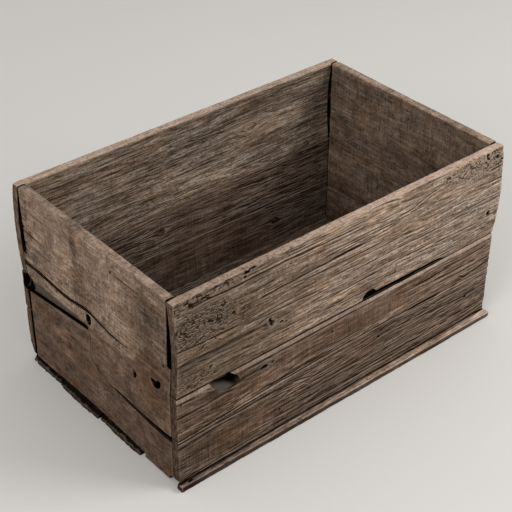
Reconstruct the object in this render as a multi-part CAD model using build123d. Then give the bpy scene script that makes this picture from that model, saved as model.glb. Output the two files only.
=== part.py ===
from build123d import *
import math
import os

os.makedirs("parts", exist_ok=True)

# Overall sizes: X runs along the long sides, Y across the crate, Z up from the floor
crate_length = 600.0
crate_width = 364.0
crate_height = 306.0
side_thickness = 14.0
end_thickness = 15.0
plank_thickness = 9.0

# Fits: boards edge to edge, end boards between the sides, nails in their holes
joint_gap = 0.4
corner_fit = 0.2
nail_clearance = 0.1

# Worn edges: the rim is rounded, and the outer top edges of the side boards below it slope steeply
rim_wear = 2.5
middle_ledge_height = 6.5
middle_ledge_depth = 1.6
lower_ledge_height = 3.0
lower_ledge_depth = 1.4

# Upper side boards have cupped with age, so their middles stand out past their edges
front_cup = 6.0
rear_cup = 7.0

# Front side: height of each joint at its left end, its rise to the right, and how far its middle bows up
front_upper_joint = 155.5
front_upper_rise = -2.0
front_lower_joint = 84.0
front_lower_rise = 4.0
front_lower_bow = 8.0

# Rear side and right end: the same, without the bow, the end's joints being measured at its front edge
rear_upper_joint = 160.0
rear_upper_rise = 8.0
rear_lower_joint = 93.0
rear_lower_rise = -7.0
right_upper_joint = 168.0
right_upper_rise = 12.0
right_lower_joint = 84.0
right_lower_rise = -8.0

# Front upper board: half-moon notch where a knot fell out of its lower edge, and the slit beside it
notch_from_middle = 40.0
notch_width = 27.0
notch_height = 15.5
slit_length = 156.0
slit_opening = 7.8
slit_tail = 15.0
slit_tail_opening = 5.4

# Front middle board: scooped knot hollow in its top edge, leaning to the right and wider outside than inside
hollow_from_left = 78.0
hollow_width = 54.0
hollow_depth = 27.0
hollow_inner_width = 30.0
hollow_inner_depth = 14.0

# Rear side at its left end: both lower boards sprung outwards, the middle one bitten and the lowest worn thin
rear_spring = 4.0
bite_height = 139.5
bite_width = 23.0
bite_length = 11.0
bite_skin = 3.5
worn_foot_height = 30.0
worn_foot_depth = 11.0
worn_foot_length = 45.0
worn_foot_clear = 2.0

# Left end, split under the upper board: a dip, a crest over the knot, then level to the front
split_height = 179.5
split_dip = 1.5
split_crest = 3.5
split_front_drop = 2.5
split_crest_run = 40.0

# Left end, edges of the upper and middle boards: cut back where the cupped sides gape, scribed to them below
gape_under_rim = 28.0
gape_trim = 3.5
gape_foot_rise = 1.5
front_gape_above_split = 26.5
rear_gape_above_split = 15.5

# Left end, wedge between the middle and lower boards, stopping short past the middle
wedge_rear_drop = 46.5
wedge_end_drop = 27.5
wedge_opening = 7.0
wedge_end_from_middle = 16.0

# Left end, crack that goes on from the wedge, down across the grain and along to the front edge
crack_height = 82.0
crack_front_drop = 3.5
crack_opening = 5.6
crack_foot_run = 62.0
crack_gape_run = 58.0

# Left end, middle board: corner broken off at the rear, a knot hole at the wedge and one like a heart
chip_width = 12.5
chip_height = 23.5
knot_width = 12.0
knot_rim = 5.0
heart_from_front = 30.5
heart_above_crack = 74.5
heart_width = 21.0
heart_height = 17.0

# Left end, lower board: worn hollow over the middle planks, with a tongue where the front plank is gone
foot_wear = 4.5
foot_wear_rear = 38.0
tongue_drop = 8.0
tongue_clear = 4.5

# Bottom planks, counted from the front
plank_count = 4
plank_gap = 3.0
front_overhang_left = 8.0
front_overhang_right = 12.0
rear_overhang_left = 12.0
rear_overhang_right = 9.0
end_overhang = 8.0
end_stagger = 2.5
end_bow = 1.5

# Front plank: shorter than the rest, and its left end is broken off behind a lip at the outer edge
front_plank_setback = 5.5
break_clear = 0.5
break_round = 14.0
break_lip = 12.0

# Rear plank: its left corner has split away
corner_split_length = 38.0
corner_split_width = 24.0

# Cut nails: a small square head sunk in the board and a four-sided shank that tapers to a blunt point
nail_head_width = 4.6
nail_head_height = 1.4
nail_shank_width = 2.8
nail_taper = 1.4
nail_sink = 0.6
side_nail_length = 38.0
bottom_nail_length = 32.0
nail_edge = 9.0
nail_pitch = 45.0
plank_nail_edge = 15.0
corner_nail_clear = 32.0
long_side_nail_edge = 60.0
long_side_nail_count = 5

# Places that follow from the sizes above
half_length = crate_length / 2
half_width = crate_width / 2
inner_half_width = half_width - side_thickness
end_edge = inner_half_width - corner_fit
end_nail_x = half_length - end_thickness / 2
side_nail_y = half_width - side_thickness / 2
bottom_nail_top = nail_sink + bottom_nail_length

front_reach = half_width + max(front_overhang_left, front_overhang_right)
rear_reach = half_width + max(rear_overhang_left, rear_overhang_right)
plank_width = (front_reach + rear_reach - (plank_count - 1) * plank_gap) / plank_count
break_edge_y = -half_width - front_overhang_left + break_lip
break_end_y = break_edge_y + break_round

front_face = Plane(origin=(0, -half_width, 0), x_dir=(1, 0, 0), z_dir=(0, -1, 0))
rear_face = Plane(origin=(0, half_width, 0), x_dir=(1, 0, 0), z_dir=(0, -1, 0))
left_face = Plane(origin=(-half_length, 0, 0), x_dir=(0, 1, 0), z_dir=(1, 0, 0))
right_face = Plane(origin=(half_length - end_thickness, 0, 0), x_dir=(0, 1, 0), z_dir=(1, 0, 0))


def plank_span(number):
    start = -front_reach + number * (plank_width + plank_gap)
    return start, start + plank_width


def edge_near(solid, point):
    return min(solid.edges(), key=lambda edge: (edge.center() - Vector(*point)).length)


def slab(plane, outline, thickness):
    return extrude(plane * make_face(outline), amount=thickness)


def wall_levels(lower, upper):
    half = joint_gap / 2
    floor = (plank_thickness, plank_thickness, 0)
    rim = (crate_height, crate_height, 0)

    def beside(joint, shift):
        start, rise, bow = joint
        return start + shift, start + rise + shift, bow

    low_board = (floor, beside(lower, -half))
    middle_board = (beside(lower, half), beside(upper, -half))
    top_board = (beside(upper, half), rim)
    return {"lower": low_board, "middle": middle_board, "upper": top_board}


def at_end(levels, end):
    return [(low[end], high[end]) for low, high in levels.values()]


def sawn_edge(level, reach):
    start, end, bow = level
    if bow == 0:
        return Line((-reach, start), (reach, end))
    return ThreePointArc((-reach, start), (0, (start + end) / 2 + bow), (reach, end))


def sawn_outline(low, high, reach):
    foot = sawn_edge(low, reach)
    top = sawn_edge(high, reach)
    return [foot, Line(foot @ 1, top @ 1), top, Line(top @ 0, foot @ 0)]


def rounded_rim(board, rim_points):
    for point in rim_points:
        board = fillet(edge_near(board, point), rim_wear)
    return board


# Long sides
def cup_at(height, foot, cup):
    middle = (foot + crate_height) / 2
    half_chord = (crate_height - foot) / 2
    radius = (half_chord**2 + cup**2) / (2 * cup)
    return math.sqrt(radius**2 - (height - middle) ** 2) - (radius - cup)


def cupped_sheet(outward, foot, cup):
    middle = (foot + crate_height) / 2

    def cupped_face(y):
        return ThreePointArc((y, foot), (y + cup, middle), (y, crate_height))

    outer = cupped_face(half_width)
    inner = cupped_face(inner_half_width)
    outline = [outer, Line(outer @ 1, inner @ 1), inner, Line(inner @ 0, outer @ 0)]
    across = Plane(origin=(0, 0, 0), x_dir=(0, outward, 0), z_dir=(outward, 0, 0))
    return extrude(across * make_face(outline), amount=half_length, both=True)


def long_side(plane, levels, outward, cup):
    outer_y = outward * half_width
    inner_y = outward * inner_half_width
    boards = {}
    for name, (low, high) in levels.items():
        outline = sawn_outline(low, high, half_length)
        if name == "upper":
            blank = slab(plane.offset(-outward * cup), outline, outward * (side_thickness + cup))
            cupped = blank & cupped_sheet(outward, min(low[:2]), cup)
            rim = [(0, outer_y, crate_height), (0, inner_y, crate_height)]
            boards[name] = rounded_rim(cupped, rim)
        else:
            flat = slab(plane, outline, outward * side_thickness)
            top = (high[0] + high[1]) / 2 + high[2]
            height, depth = (middle_ledge_height, middle_ledge_depth)
            if name == "lower":
                height, depth = (lower_ledge_height, lower_ledge_depth)
            outer_face = min(flat.faces(), key=lambda face: abs(face.center().Y - outer_y))
            boards[name] = chamfer(edge_near(flat, (0, outer_y, top)), height, depth, reference=outer_face)
    return boards


front_lower_line = (front_lower_joint, front_lower_rise, front_lower_bow)
front_upper_line = (front_upper_joint, front_upper_rise, 0)
front_levels = wall_levels(front_lower_line, front_upper_line)
front_boards = long_side(front_face, front_levels, -1, front_cup)

rear_lower_line = (rear_lower_joint, rear_lower_rise, 0)
rear_upper_line = (rear_upper_joint, rear_upper_rise, 0)
rear_levels = wall_levels(rear_lower_line, rear_upper_line)
rear_boards = long_side(rear_face, rear_levels, 1, rear_cup)


def sprung_by(x):
    return rear_spring * (half_length - x) / crate_length


def sprung(board):
    hinge = Pos(half_length, inner_half_width)
    return hinge * Rot(0, 0, -math.degrees(math.asin(rear_spring / crate_length))) * hinge.inverse() * board


bite = Pos(-half_length, bite_height) * Ellipse(bite_length, bite_width / 2)
bite_depth = side_thickness - bite_skin
rear_boards["middle"] -= extrude(rear_face.offset(side_thickness) * bite, amount=-bite_depth)

foot_outer = half_width + worn_foot_clear
foot_low = plank_thickness - worn_foot_clear
foot_corners = [(half_width - worn_foot_depth, foot_low), (foot_outer, foot_low)]
foot_corners += [(foot_outer, plank_thickness + worn_foot_height)]
foot_section = left_face.offset(-worn_foot_clear) * make_face(Polyline(*foot_corners, close=True).edges())
foot_tip = Vertex(worn_foot_length - half_length, foot_outer, foot_low)
rear_boards["lower"] -= loft([foot_section.face(), foot_tip])

for name in ("lower", "middle"):
    rear_boards[name] = sprung(rear_boards[name])


# Notch, slit and knot hollow along the front side's upper joint
def front_joint_height(x):
    return front_upper_joint + front_upper_rise * (x + half_length) / crate_length


def cut_through_front(board, shape):
    return board - extrude(front_face.offset(front_cup) * shape, amount=-side_thickness - front_cup)


slit_start = (notch_from_middle, front_joint_height(notch_from_middle))
slit_end_x = notch_from_middle + slit_length
slit_end = (slit_end_x, front_joint_height(slit_end_x))
slit_top = (notch_from_middle, slit_start[1] + slit_opening)
slit_tail_top = (slit_end_x - slit_tail, slit_end[1] + slit_tail_opening)
slit_below = slit_end[1] - slit_opening
slit_foot = [(slit_end_x, slit_below), (notch_from_middle, slit_below)]
slit = make_face(Polyline(slit_top, slit_tail_top, slit_end, *slit_foot, close=True).edges())
notch = Pos(*slit_start) * Ellipse(notch_width / 2, notch_height)
front_boards["upper"] = cut_through_front(front_boards["upper"], notch)
front_boards["upper"] = cut_through_front(front_boards["upper"], slit)


def hollow_outline(width, depth):
    above = joint_gap
    brow = Line((-0.5 * width, above), (0.16 * width, above))
    bank = Line(brow @ 1, (0.5 * width, -0.85 * depth))
    bed = ThreePointArc(bank @ 1, (0.08 * width, -depth), (-0.28 * width, -0.6 * depth))
    return make_face([brow, bank, bed, Line(bed @ 1, brow @ 0)])


hollow_x = -half_length + hollow_from_left
hollow_place = Pos(hollow_x, front_joint_height(hollow_x))
hollow_mouth = front_face * hollow_place * hollow_outline(hollow_width, hollow_depth)
hollow_throat = hollow_place * hollow_outline(hollow_inner_width, hollow_inner_depth)
hollow_back = front_face.offset(-side_thickness) * hollow_throat
hollow = loft([hollow_mouth.face(), hollow_back.face()], ruled=True)
front_boards["middle"] = front_boards["middle"] - hollow

# Right end
right_lower_line = (right_lower_joint, right_lower_rise, 0)
right_upper_line = (right_upper_joint, right_upper_rise, 0)
right_levels = wall_levels(right_lower_line, right_upper_line)
right_boards = {}
for name, (low, high) in right_levels.items():
    right_boards[name] = slab(right_face, sawn_outline(low, high, end_edge), end_thickness)
right_rim = [(half_length, 0, crate_height), (half_length - end_thickness, 0, crate_height)]
right_boards["upper"] = rounded_rim(right_boards["upper"], right_rim)

# Left end: three boards parted by a wandering split, a wedge and the crack that goes on from it
wedge_end_y = wedge_end_from_middle
knot_y = wedge_end_y - knot_width / 4
split_top = split_height + split_crest
split_front_height = split_height - split_front_drop
wedge_end_height = split_height - wedge_end_drop
wedge_rear_height = split_height - wedge_rear_drop
crack_front_height = crack_height - crack_front_drop
chip_top = wedge_rear_height + chip_height
gape_head = crate_height - gape_under_rim
front_gape_foot = split_front_height + front_gape_above_split
rear_gape_foot = split_height + rear_gape_above_split


def split_curve(side):
    rear_foot = (knot_y + split_crest_run, split_height - split_dip)
    front_foot = (knot_y - split_crest_run, split_front_height)
    rear_run = ((rear_foot[0] + end_edge) / 2, split_height - split_dip / 2)
    front_run = ((front_foot[0] - end_edge) / 2, split_front_height)
    points = [(end_edge, split_height), rear_run, rear_foot, (knot_y, split_top)]
    points += [front_foot, front_run, (-end_edge, split_front_height)]
    return Spline(*[(y, z + side * joint_gap / 2) for y, z in points])


def crack_curve(side):
    shift = side * joint_gap / 2
    gape = side * crack_opening / 2
    fall = wedge_end_height - wedge_opening / 2 - crack_height
    foot_y = wedge_end_y - crack_foot_run

    def on_the_way(run, rise):
        return wedge_end_y - run * crack_foot_run - shift, crack_height + rise * fall + shift

    front = (-end_edge, crack_front_height + gape)
    narrowing = (foot_y - crack_gape_run, crack_front_height + gape / 3)
    across = [on_the_way(1, 0), on_the_way(0.22, 0.08), on_the_way(0, 0.4), on_the_way(0.05, 0.79)]
    return Spline(front, narrowing, *across, on_the_way(0, 1))


def wedge_line(side):
    start = (wedge_end_y - side * joint_gap / 2, wedge_end_height + side * wedge_opening / 2)
    end = (end_edge, wedge_rear_height + side * wedge_opening / 2)
    return Line(start, end)


def heart_hole():
    tip = (0.5 * heart_width, 0.1 * heart_height)
    dip = (-0.07 * heart_width, 0.15 * heart_height)
    crown = (-0.5 * heart_width, 0.5 * heart_height)
    foot = (0, -0.5 * heart_height)
    brow = ThreePointArc(tip, (0.2 * heart_width, 0.2 * heart_height), dip)
    lobe = ThreePointArc(dip, (-0.27 * heart_width, 0.4 * heart_height), crown)
    cheek = ThreePointArc(crown, (-0.42 * heart_width, -0.2 * heart_height), foot)
    jaw = ThreePointArc(foot, (0.33 * heart_width, -0.3 * heart_height), tip)
    return make_face([brow, lobe, cheek, jaw])


front_cup_foot = min(front_levels["upper"][0][:2])
rear_cup_foot = min(rear_levels["upper"][0][:2])


def front_scribe(height):
    return -end_edge - cup_at(height, front_cup_foot, front_cup), height


def rear_scribe(height):
    return end_edge + cup_at(height, rear_cup_foot, rear_cup), height


upper_split = split_curve(1)
upper_front = [upper_split @ 1, front_scribe((upper_split @ 1).Y), front_scribe(front_gape_foot)]
upper_front += [(gape_trim - end_edge, front_gape_foot + gape_foot_rise), (-end_edge, gape_head)]
upper_rear = [(end_edge, gape_head), (end_edge - gape_trim, rear_gape_foot + gape_foot_rise)]
upper_rear += [rear_scribe(rear_gape_foot), rear_scribe((upper_split @ 0).Y), upper_split @ 0]
upper_rest = Polyline(*upper_front, (-end_edge, crate_height), (end_edge, crate_height), *upper_rear)
left_upper = slab(left_face, [upper_split, *upper_rest.edges()], end_thickness)
left_rim = [(-half_length, 0, crate_height), (-half_length + end_thickness, 0, crate_height)]

middle_split = split_curve(-1)
middle_crack = crack_curve(1)
middle_wedge = wedge_line(1)
middle_front_scribe = [front_scribe((middle_split @ 1).Y), (-end_edge, front_levels["upper"][0][0])]
middle_rear_scribe = [(end_edge, rear_levels["upper"][0][0]), rear_scribe((middle_split @ 0).Y)]
middle_front = Polyline(middle_split @ 1, *middle_front_scribe, middle_crack @ 0)
middle_step = Line(middle_crack @ 1, middle_wedge @ 0)
middle_rear = Polyline(middle_wedge @ 1, *middle_rear_scribe, middle_split @ 0)
middle_outline = [middle_split, *middle_front.edges(), middle_crack, middle_step, middle_wedge]
middle_outline += middle_rear.edges()
left_middle = slab(left_face, middle_outline, end_thickness)

wedge_top = wedge_end_height + wedge_opening / 2
knot_height = split_top - wedge_top - 2 * knot_rim
knot = Pos(knot_y, (wedge_top + split_top) / 2) * Ellipse(knot_width / 2, knot_height / 2)
heart = Pos(-end_edge + heart_from_front, crack_height + heart_above_crack) * heart_hole()
chip = Pos(end_edge, (wedge_rear_height + chip_top) / 2) * Rectangle(2 * chip_width, chip_height)
for hole in (knot, heart, chip):
    left_middle = left_middle - extrude(left_face * hole, amount=end_thickness)

lower_crack = crack_curve(-1)
lower_wedge = wedge_line(-1)
foot_front = (plank_span(1)[0] - plank_gap / 2, plank_thickness)
foot_rear = (end_edge - foot_wear_rear, plank_thickness)
foot_crown = ((foot_front[0] + foot_rear[0]) / 2, plank_thickness + foot_wear)
foot_arch = ThreePointArc(foot_front, foot_crown, foot_rear)
tongue_front = break_end_y + tongue_clear
tongue_rear = plank_span(0)[1] - tongue_clear
tongue_foot = plank_thickness - tongue_drop
tongue = [(tongue_front, plank_thickness), (tongue_front, tongue_foot)]
tongue += [(tongue_rear, tongue_foot), (tongue_rear, plank_thickness)]
front_run = Polyline(lower_crack @ 0, (-end_edge, plank_thickness), *tongue, foot_front)
rear_run = Polyline(foot_rear, (end_edge, plank_thickness), lower_wedge @ 1)
lower_step = Line(lower_wedge @ 0, lower_crack @ 1)
lower_outline = [lower_crack, *front_run.edges(), foot_arch, *rear_run.edges(), lower_wedge, lower_step]
left_lower = slab(left_face, lower_outline, end_thickness)

left_boards = {"lower": left_lower, "middle": left_middle, "upper": rounded_rim(left_upper, left_rim)}


# Bottom planks
def plank_reach(number, right):
    set_back = front_plank_setback if number == 0 else end_stagger * ((number + right) % 2)
    return half_length + end_overhang - set_back


def worn_plank_end(reach, near, far):
    outmost = reach + math.copysign(end_bow, reach)
    return ThreePointArc((reach, near), (outmost, (near + far) / 2), (reach, far))


def broken_plank_end(reach, near, far):
    back = -half_length + end_thickness + break_clear
    corner = math.sqrt(0.5)
    bend = (reach + (back - reach) * corner, break_end_y - break_round * corner)
    torn = ThreePointArc((back, break_end_y), bend, (reach, break_edge_y))
    return [Line((back, far), torn @ 0), torn, Line(torn @ 1, (reach, near))]


def plank(number):
    low, high = plank_span(number)
    low_left, low_right = (low, low)
    high_left, high_right = (high, high)
    if number == 0:
        low_left, low_right = (-half_width - front_overhang_left, -half_width - front_overhang_right)
    if number == plank_count - 1:
        high_left, high_right = (half_width + rear_overhang_left, half_width + rear_overhang_right)
    right_end = worn_plank_end(plank_reach(number, 1) - end_bow, low_right, high_right)
    if number == 0:
        left_end = broken_plank_end(-plank_reach(number, 0), low_left, high_left)
    else:
        left_end = [worn_plank_end(end_bow - plank_reach(number, 0), high_left, low_left)]
    near_edge = Line(left_end[-1] @ 1, right_end @ 0)
    far_edge = Line(right_end @ 1, left_end[0] @ 0)
    return slab(Plane.XY, [near_edge, right_end, far_edge, *left_end], plank_thickness)


def split_corner(x, y):
    past = (x - end_overhang, y + end_overhang)
    torn = [(0, -1), (0.28, -0.72), (0.42, -0.42), (0.8, -0.27), (1, 0)]
    points = [(x + run * corner_split_length, y + rise * corner_split_width) for run, rise in torn]
    ring = [(past[0], points[0][1]), *points, (points[-1][0], past[1]), past]
    return extrude(make_face(Polyline(*ring, close=True).edges()), amount=plank_thickness)


planks = [plank(number) for number in range(plank_count)]
planks[-1] = planks[-1] - split_corner(-plank_reach(plank_count - 1, 0), half_width + rear_overhang_left)


# Nails
def cut_nail(length, slack, head_start):
    neck = nail_sink + nail_head_height
    head_width = nail_head_width + 2 * slack
    shank_width = nail_shank_width + 2 * slack
    shank_length = length - nail_head_height + slack
    head = extrude(Plane.XY.offset(head_start) * Rectangle(head_width, head_width), amount=neck - head_start)
    shank_foot = Plane.XY.offset(neck) * Rectangle(shank_width, shank_width)
    return head + extrude(shank_foot, amount=shank_length, taper=nail_taper)


def nail(length):
    return cut_nail(length, 0, nail_sink)


def nail_hole(length):
    return cut_nail(length, nail_clearance, -nail_sink)


def corner_nail_heights(side_spans, end_spans):
    heights = []
    for side_low, side_high in side_spans:
        for end_low, end_high in end_spans:
            low = max(side_low, end_low, bottom_nail_top) + nail_edge
            high = min(side_high, end_high) - nail_edge
            if high >= low:
                count = 1 + int((high - low) // nail_pitch)
                start = (low + high - (count - 1) * nail_pitch) / 2
                heights += [start + i * nail_pitch for i in range(count)]
    return heights


def corner_places(x, outward, side_levels, side_end, end_spans, cup, spring):
    side_spans = at_end(side_levels, side_end)
    foot = min(side_levels["upper"][0][:2])
    places = []
    for z in corner_nail_heights(side_spans, end_spans):
        stand_out = cup_at(z, foot, cup) if z > side_spans[-1][0] else spring
        places.append(Plane(origin=(x, outward * (half_width + stand_out), z), z_dir=(0, -outward, 0)))
    return places


def plank_end_places(x, first_plank):
    limit = inner_half_width - corner_nail_clear
    places = []
    for number in range(first_plank, plank_count):
        low, high = plank_span(number)
        for y in (max(low + plank_nail_edge, -limit), min(high - plank_nail_edge, limit)):
            places.append(Plane(origin=(x, y, 0)))
    return places


def plank_side_xs():
    reach = half_length - long_side_nail_edge
    step = 2 * reach / (long_side_nail_count - 1)
    return [-reach + i * step for i in range(long_side_nail_count)]


left_front_spans = [(plank_thickness, crack_front_height - crack_opening / 2)]
left_front_spans += [(crack_front_height + crack_opening / 2, split_front_height)]
left_front_spans += [(split_front_height, crate_height)]
left_rear_spans = [(plank_thickness, wedge_rear_height - wedge_opening / 2)]
left_rear_spans += [(chip_top, split_height), (split_height, crate_height)]
right_front_spans = at_end(right_levels, 0)
right_rear_spans = at_end(right_levels, 1)
left_spring = sprung_by(-end_nail_x)
right_spring = sprung_by(end_nail_x)

corner_nails = {
    "front_left": corner_places(-end_nail_x, -1, front_levels, 0, left_front_spans, front_cup, 0),
    "front_right": corner_places(end_nail_x, -1, front_levels, 1, right_front_spans, front_cup, 0),
    "rear_left": corner_places(-end_nail_x, 1, rear_levels, 0, left_rear_spans, rear_cup, left_spring),
    "rear_right": corner_places(end_nail_x, 1, rear_levels, 1, right_rear_spans, rear_cup, right_spring),
}
bottom_nails = {
    "bottom_left": plank_end_places(-end_nail_x, 1),
    "bottom_right": plank_end_places(end_nail_x, 0),
    "bottom_front": [Plane(origin=(x, -side_nail_y, 0)) for x in plank_side_xs()],
    "bottom_rear": [Plane(origin=(x, side_nail_y + sprung_by(x), 0)) for x in plank_side_xs()],
}

side_nail = nail(side_nail_length)
bottom_nail = nail(bottom_nail_length)
side_hole = nail_hole(side_nail_length)
bottom_hole = nail_hole(bottom_nail_length)
holes = {group: [place * side_hole for place in places] for group, places in corner_nails.items()}
holes.update({group: [place * bottom_hole for place in places] for group, places in bottom_nails.items()})

# Boards with the holes of the nails that pass through them
walls = {
    "front_side": front_boards,
    "rear_side": rear_boards,
    "left_end": left_boards,
    "right_end": right_boards,
}
nails_in = {
    "front_side": ("front_left", "front_right", "bottom_front"),
    "rear_side": ("rear_left", "rear_right", "bottom_rear"),
    "left_end": ("front_left", "rear_left", "bottom_left"),
    "right_end": ("front_right", "rear_right", "bottom_right"),
    "bottom": tuple(bottom_nails),
}


def nailed(board, wall):
    box = board.bounding_box()
    near = [hole for group in nails_in[wall] for hole in holes[group] if box.overlaps(hole.bounding_box())]
    return board - near if near else board


for wall, boards in walls.items():
    for name, board in boards.items():
        export_step(nailed(board, wall), f"parts/{wall}_{name}_board.step")

for number, board in enumerate(planks, start=1):
    export_step(nailed(board, "bottom"), f"parts/bottom_plank_{number}.step")

for group, places in corner_nails.items():
    export_step(Compound([place * side_nail for place in places]), f"parts/{group}_nails.step")

for group, places in bottom_nails.items():
    export_step(Compound([place * bottom_nail for place in places]), f"parts/{group}_nails.step")
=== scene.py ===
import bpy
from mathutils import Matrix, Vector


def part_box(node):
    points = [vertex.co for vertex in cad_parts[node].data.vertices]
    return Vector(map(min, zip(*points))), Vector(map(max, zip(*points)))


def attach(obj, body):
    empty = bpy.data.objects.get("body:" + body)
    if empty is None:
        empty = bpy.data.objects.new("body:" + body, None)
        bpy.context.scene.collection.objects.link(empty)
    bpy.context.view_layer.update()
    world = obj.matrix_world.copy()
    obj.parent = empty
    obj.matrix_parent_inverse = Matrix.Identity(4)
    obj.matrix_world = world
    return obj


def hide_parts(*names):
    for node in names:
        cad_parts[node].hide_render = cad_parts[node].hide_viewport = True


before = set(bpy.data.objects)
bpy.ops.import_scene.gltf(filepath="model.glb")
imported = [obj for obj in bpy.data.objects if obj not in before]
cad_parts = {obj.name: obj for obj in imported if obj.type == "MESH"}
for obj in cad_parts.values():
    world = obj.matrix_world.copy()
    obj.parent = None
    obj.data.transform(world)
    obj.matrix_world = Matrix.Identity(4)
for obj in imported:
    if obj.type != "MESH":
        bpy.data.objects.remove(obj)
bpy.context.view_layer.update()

import math
from types import SimpleNamespace

import bmesh
import bpy
import numpy as np
from mathutils import Matrix, Vector

scene = bpy.context.scene
perMetre = 1000  # the boards are worked in millimetres
print("frame loaded:", len(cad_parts), "nodes")


# noise on whole arrays of points, the same at every run
def latticeValue(ix, iy, iz, seed):
    mixed = ix * 374761393 + iy * 668265263 + iz * 974634777 + seed * 1274126177  # large odd steps
    mixed = (mixed ^ (mixed >> 13)) * 1103515245
    mixed = mixed ^ (mixed >> 16)
    return (mixed & 65535) / 32767.5 - 1.0


def softNoise(x, y, z, seed):
    places = np.broadcast_arrays(np.asarray(x, float), np.asarray(y, float), np.asarray(z, float))
    cells = [np.floor(place).astype(np.int64) for place in places]
    parts = [place - cell for place, cell in zip(places, cells)]
    parts = [part * part * (3 - 2 * part) for part in parts]
    total = 0.0
    for dx in (0, 1):
        for dy in (0, 1):
            for dz in (0, 1):
                share = (parts[0] if dx else 1 - parts[0]) * (parts[1] if dy else 1 - parts[1])
                share = share * (parts[2] if dz else 1 - parts[2])
                total = total + share * latticeValue(cells[0] + dx, cells[1] + dy, cells[2] + dz, seed)
    return total


def smoothStep(low, high, value):
    share = np.clip((value - low) / (high - low), 0, 1)
    return share * share * (3 - 2 * share)


# how the walls lie: the axis of the grain, of the height across it and of the thickness, and which way is out
walls = {
    "front_side": {"along": 0, "across": 2, "through": 1, "outward": -1},
    "rear_side": {"along": 0, "across": 2, "through": 1, "outward": 1},
    "left_end": {"along": 1, "across": 2, "through": 0, "outward": -1},
    "right_end": {"along": 1, "across": 2, "through": 0, "outward": 1},
    "bottom": {"along": 0, "across": 1, "through": 2, "outward": 1},
}
meshing = {
    "coarser": 1.0,
    "stretch": 2.0,  # the quads are this much longer along the grain
    "weld": 1e-6,  # m
    "nailRoom": 0.3,  # mm round a nail that belong to its hole
    "nailEnds": 1.3,  # mm past its ends
    "bulgeRounds": 5,  # rounds of smoothing that tell edges and hollows from flat wood
}


def weldedForm(mesh):
    form = bmesh.new()
    form.from_mesh(mesh)
    bmesh.ops.remove_doubles(form, verts=form.verts, dist=meshing["weld"])
    return form


def loosePieces(mesh):
    form = weldedForm(mesh)
    waiting = set(form.verts)
    boxes = []
    while waiting:
        reached = [waiting.pop()]
        corners = []
        while reached:
            vert = reached.pop()
            corners.append(vert.co[:])
            for edge in vert.link_edges:
                other = edge.other_vert(vert)
                if other in waiting:
                    waiting.remove(other)
                    reached.append(other)
        corners = np.array(corners) * perMetre
        boxes.append((corners.min(0), corners.max(0)))
    form.free()
    return boxes


nailNodes = {name: node for name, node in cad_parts.items() if name.endswith("_nails")}
nailBoxes = [box for node in nailNodes.values() for box in loosePieces(node.data)]
print("nails found:", len(nailBoxes))


# the board's solid with its nail holes closed, cut into small quads that are longer along the grain
def denseBoard(node, wall, voxel):
    form = weldedForm(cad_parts[node].data)
    inHole = set()
    for low, high in nailBoxes:
        room = np.full(3, meshing["nailRoom"])
        room[np.argmax(high - low)] = meshing["nailEnds"]
        for vert in form.verts:
            place = np.array(vert.co) * perMetre
            if (place > low - room).all() and (place < high + room).all():
                inHole.add(vert)
    holeFaces = [face for face in form.faces if all(vert in inHole for vert in face.verts)]
    bmesh.ops.delete(form, geom=holeFaces, context="FACES")
    openEdges = [edge for edge in form.edges if edge.is_boundary]
    bmesh.ops.holes_fill(form, edges=openEdges, sides=0)
    bmesh.ops.recalc_face_normals(form, faces=form.faces)
    squeeze = [1.0, 1.0, 1.0]
    squeeze[wall["along"]] = 1 / meshing["stretch"]
    bmesh.ops.scale(form, vec=squeeze, verts=form.verts)
    blank = bpy.data.meshes.new(node + "_blank")
    form.to_mesh(blank)
    form.free()
    holder = bpy.data.objects.new(node + "_blank", blank)
    scene.collection.objects.link(holder)
    voxels = holder.modifiers.new("voxels", "REMESH")
    voxels.mode = "VOXEL"
    voxels.voxel_size = voxel * meshing["coarser"] / perMetre
    graph = bpy.context.evaluated_depsgraph_get()
    dense = bpy.data.meshes.new_from_object(holder.evaluated_get(graph))
    bpy.data.objects.remove(holder)
    bpy.data.meshes.remove(blank)
    return dense


def readPlaces(mesh):
    places = np.empty(len(mesh.vertices) * 3)
    mesh.vertices.foreach_get("co", places)
    return places.reshape(-1, 3) * perMetre


def writePlaces(mesh, places):
    mesh.vertices.foreach_set("co", (places / perMetre).astype(np.float32).ravel())
    mesh.update()


def readNormals(mesh):
    normals = np.empty(len(mesh.vertices) * 3, np.float32)
    mesh.vertex_normals.foreach_get("vector", normals)
    return normals.reshape(-1, 3).astype(float)


def meshLinks(mesh):
    ends = np.empty(len(mesh.edges) * 2, np.int32)
    mesh.edges.foreach_get("vertices", ends)
    ends = ends.reshape(-1, 2)
    count = np.bincount(ends.ravel(), minlength=len(mesh.vertices)).clip(1)
    return ends[:, 0], ends[:, 1], count


def neighbourMean(values, links):
    first, second, count = links
    columns = values.reshape(len(count), -1)
    means = np.empty_like(columns)
    for i in range(columns.shape[1]):
        total = np.bincount(first, columns[second, i], len(count))
        total = total + np.bincount(second, columns[first, i], len(count))
        means[:, i] = total / count
    return means.reshape(values.shape)


def smoothed(values, links, rounds):
    for _ in range(rounds):
        values = 0.5 * values + 0.5 * neighbourMean(values, links)
    return values


# depth of each point under the outer and the inner face beside it, also where a board is cupped or sprung
faceCell = {"along": 24, "across": 4}  # mm
edgeCell = 6  # mm


def faceDepths(along, across, out):
    column = ((along - along.min()) // faceCell["along"]).astype(int)
    row = ((across - across.min()) // faceCell["across"]).astype(int)
    cell = column * (row.max() + 1) + row
    front = np.full(cell.max() + 1, -np.inf)
    back = np.full(cell.max() + 1, np.inf)
    np.maximum.at(front, cell, out)
    np.minimum.at(back, cell, out)
    return front[cell] - out, out - back[cell]


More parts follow.
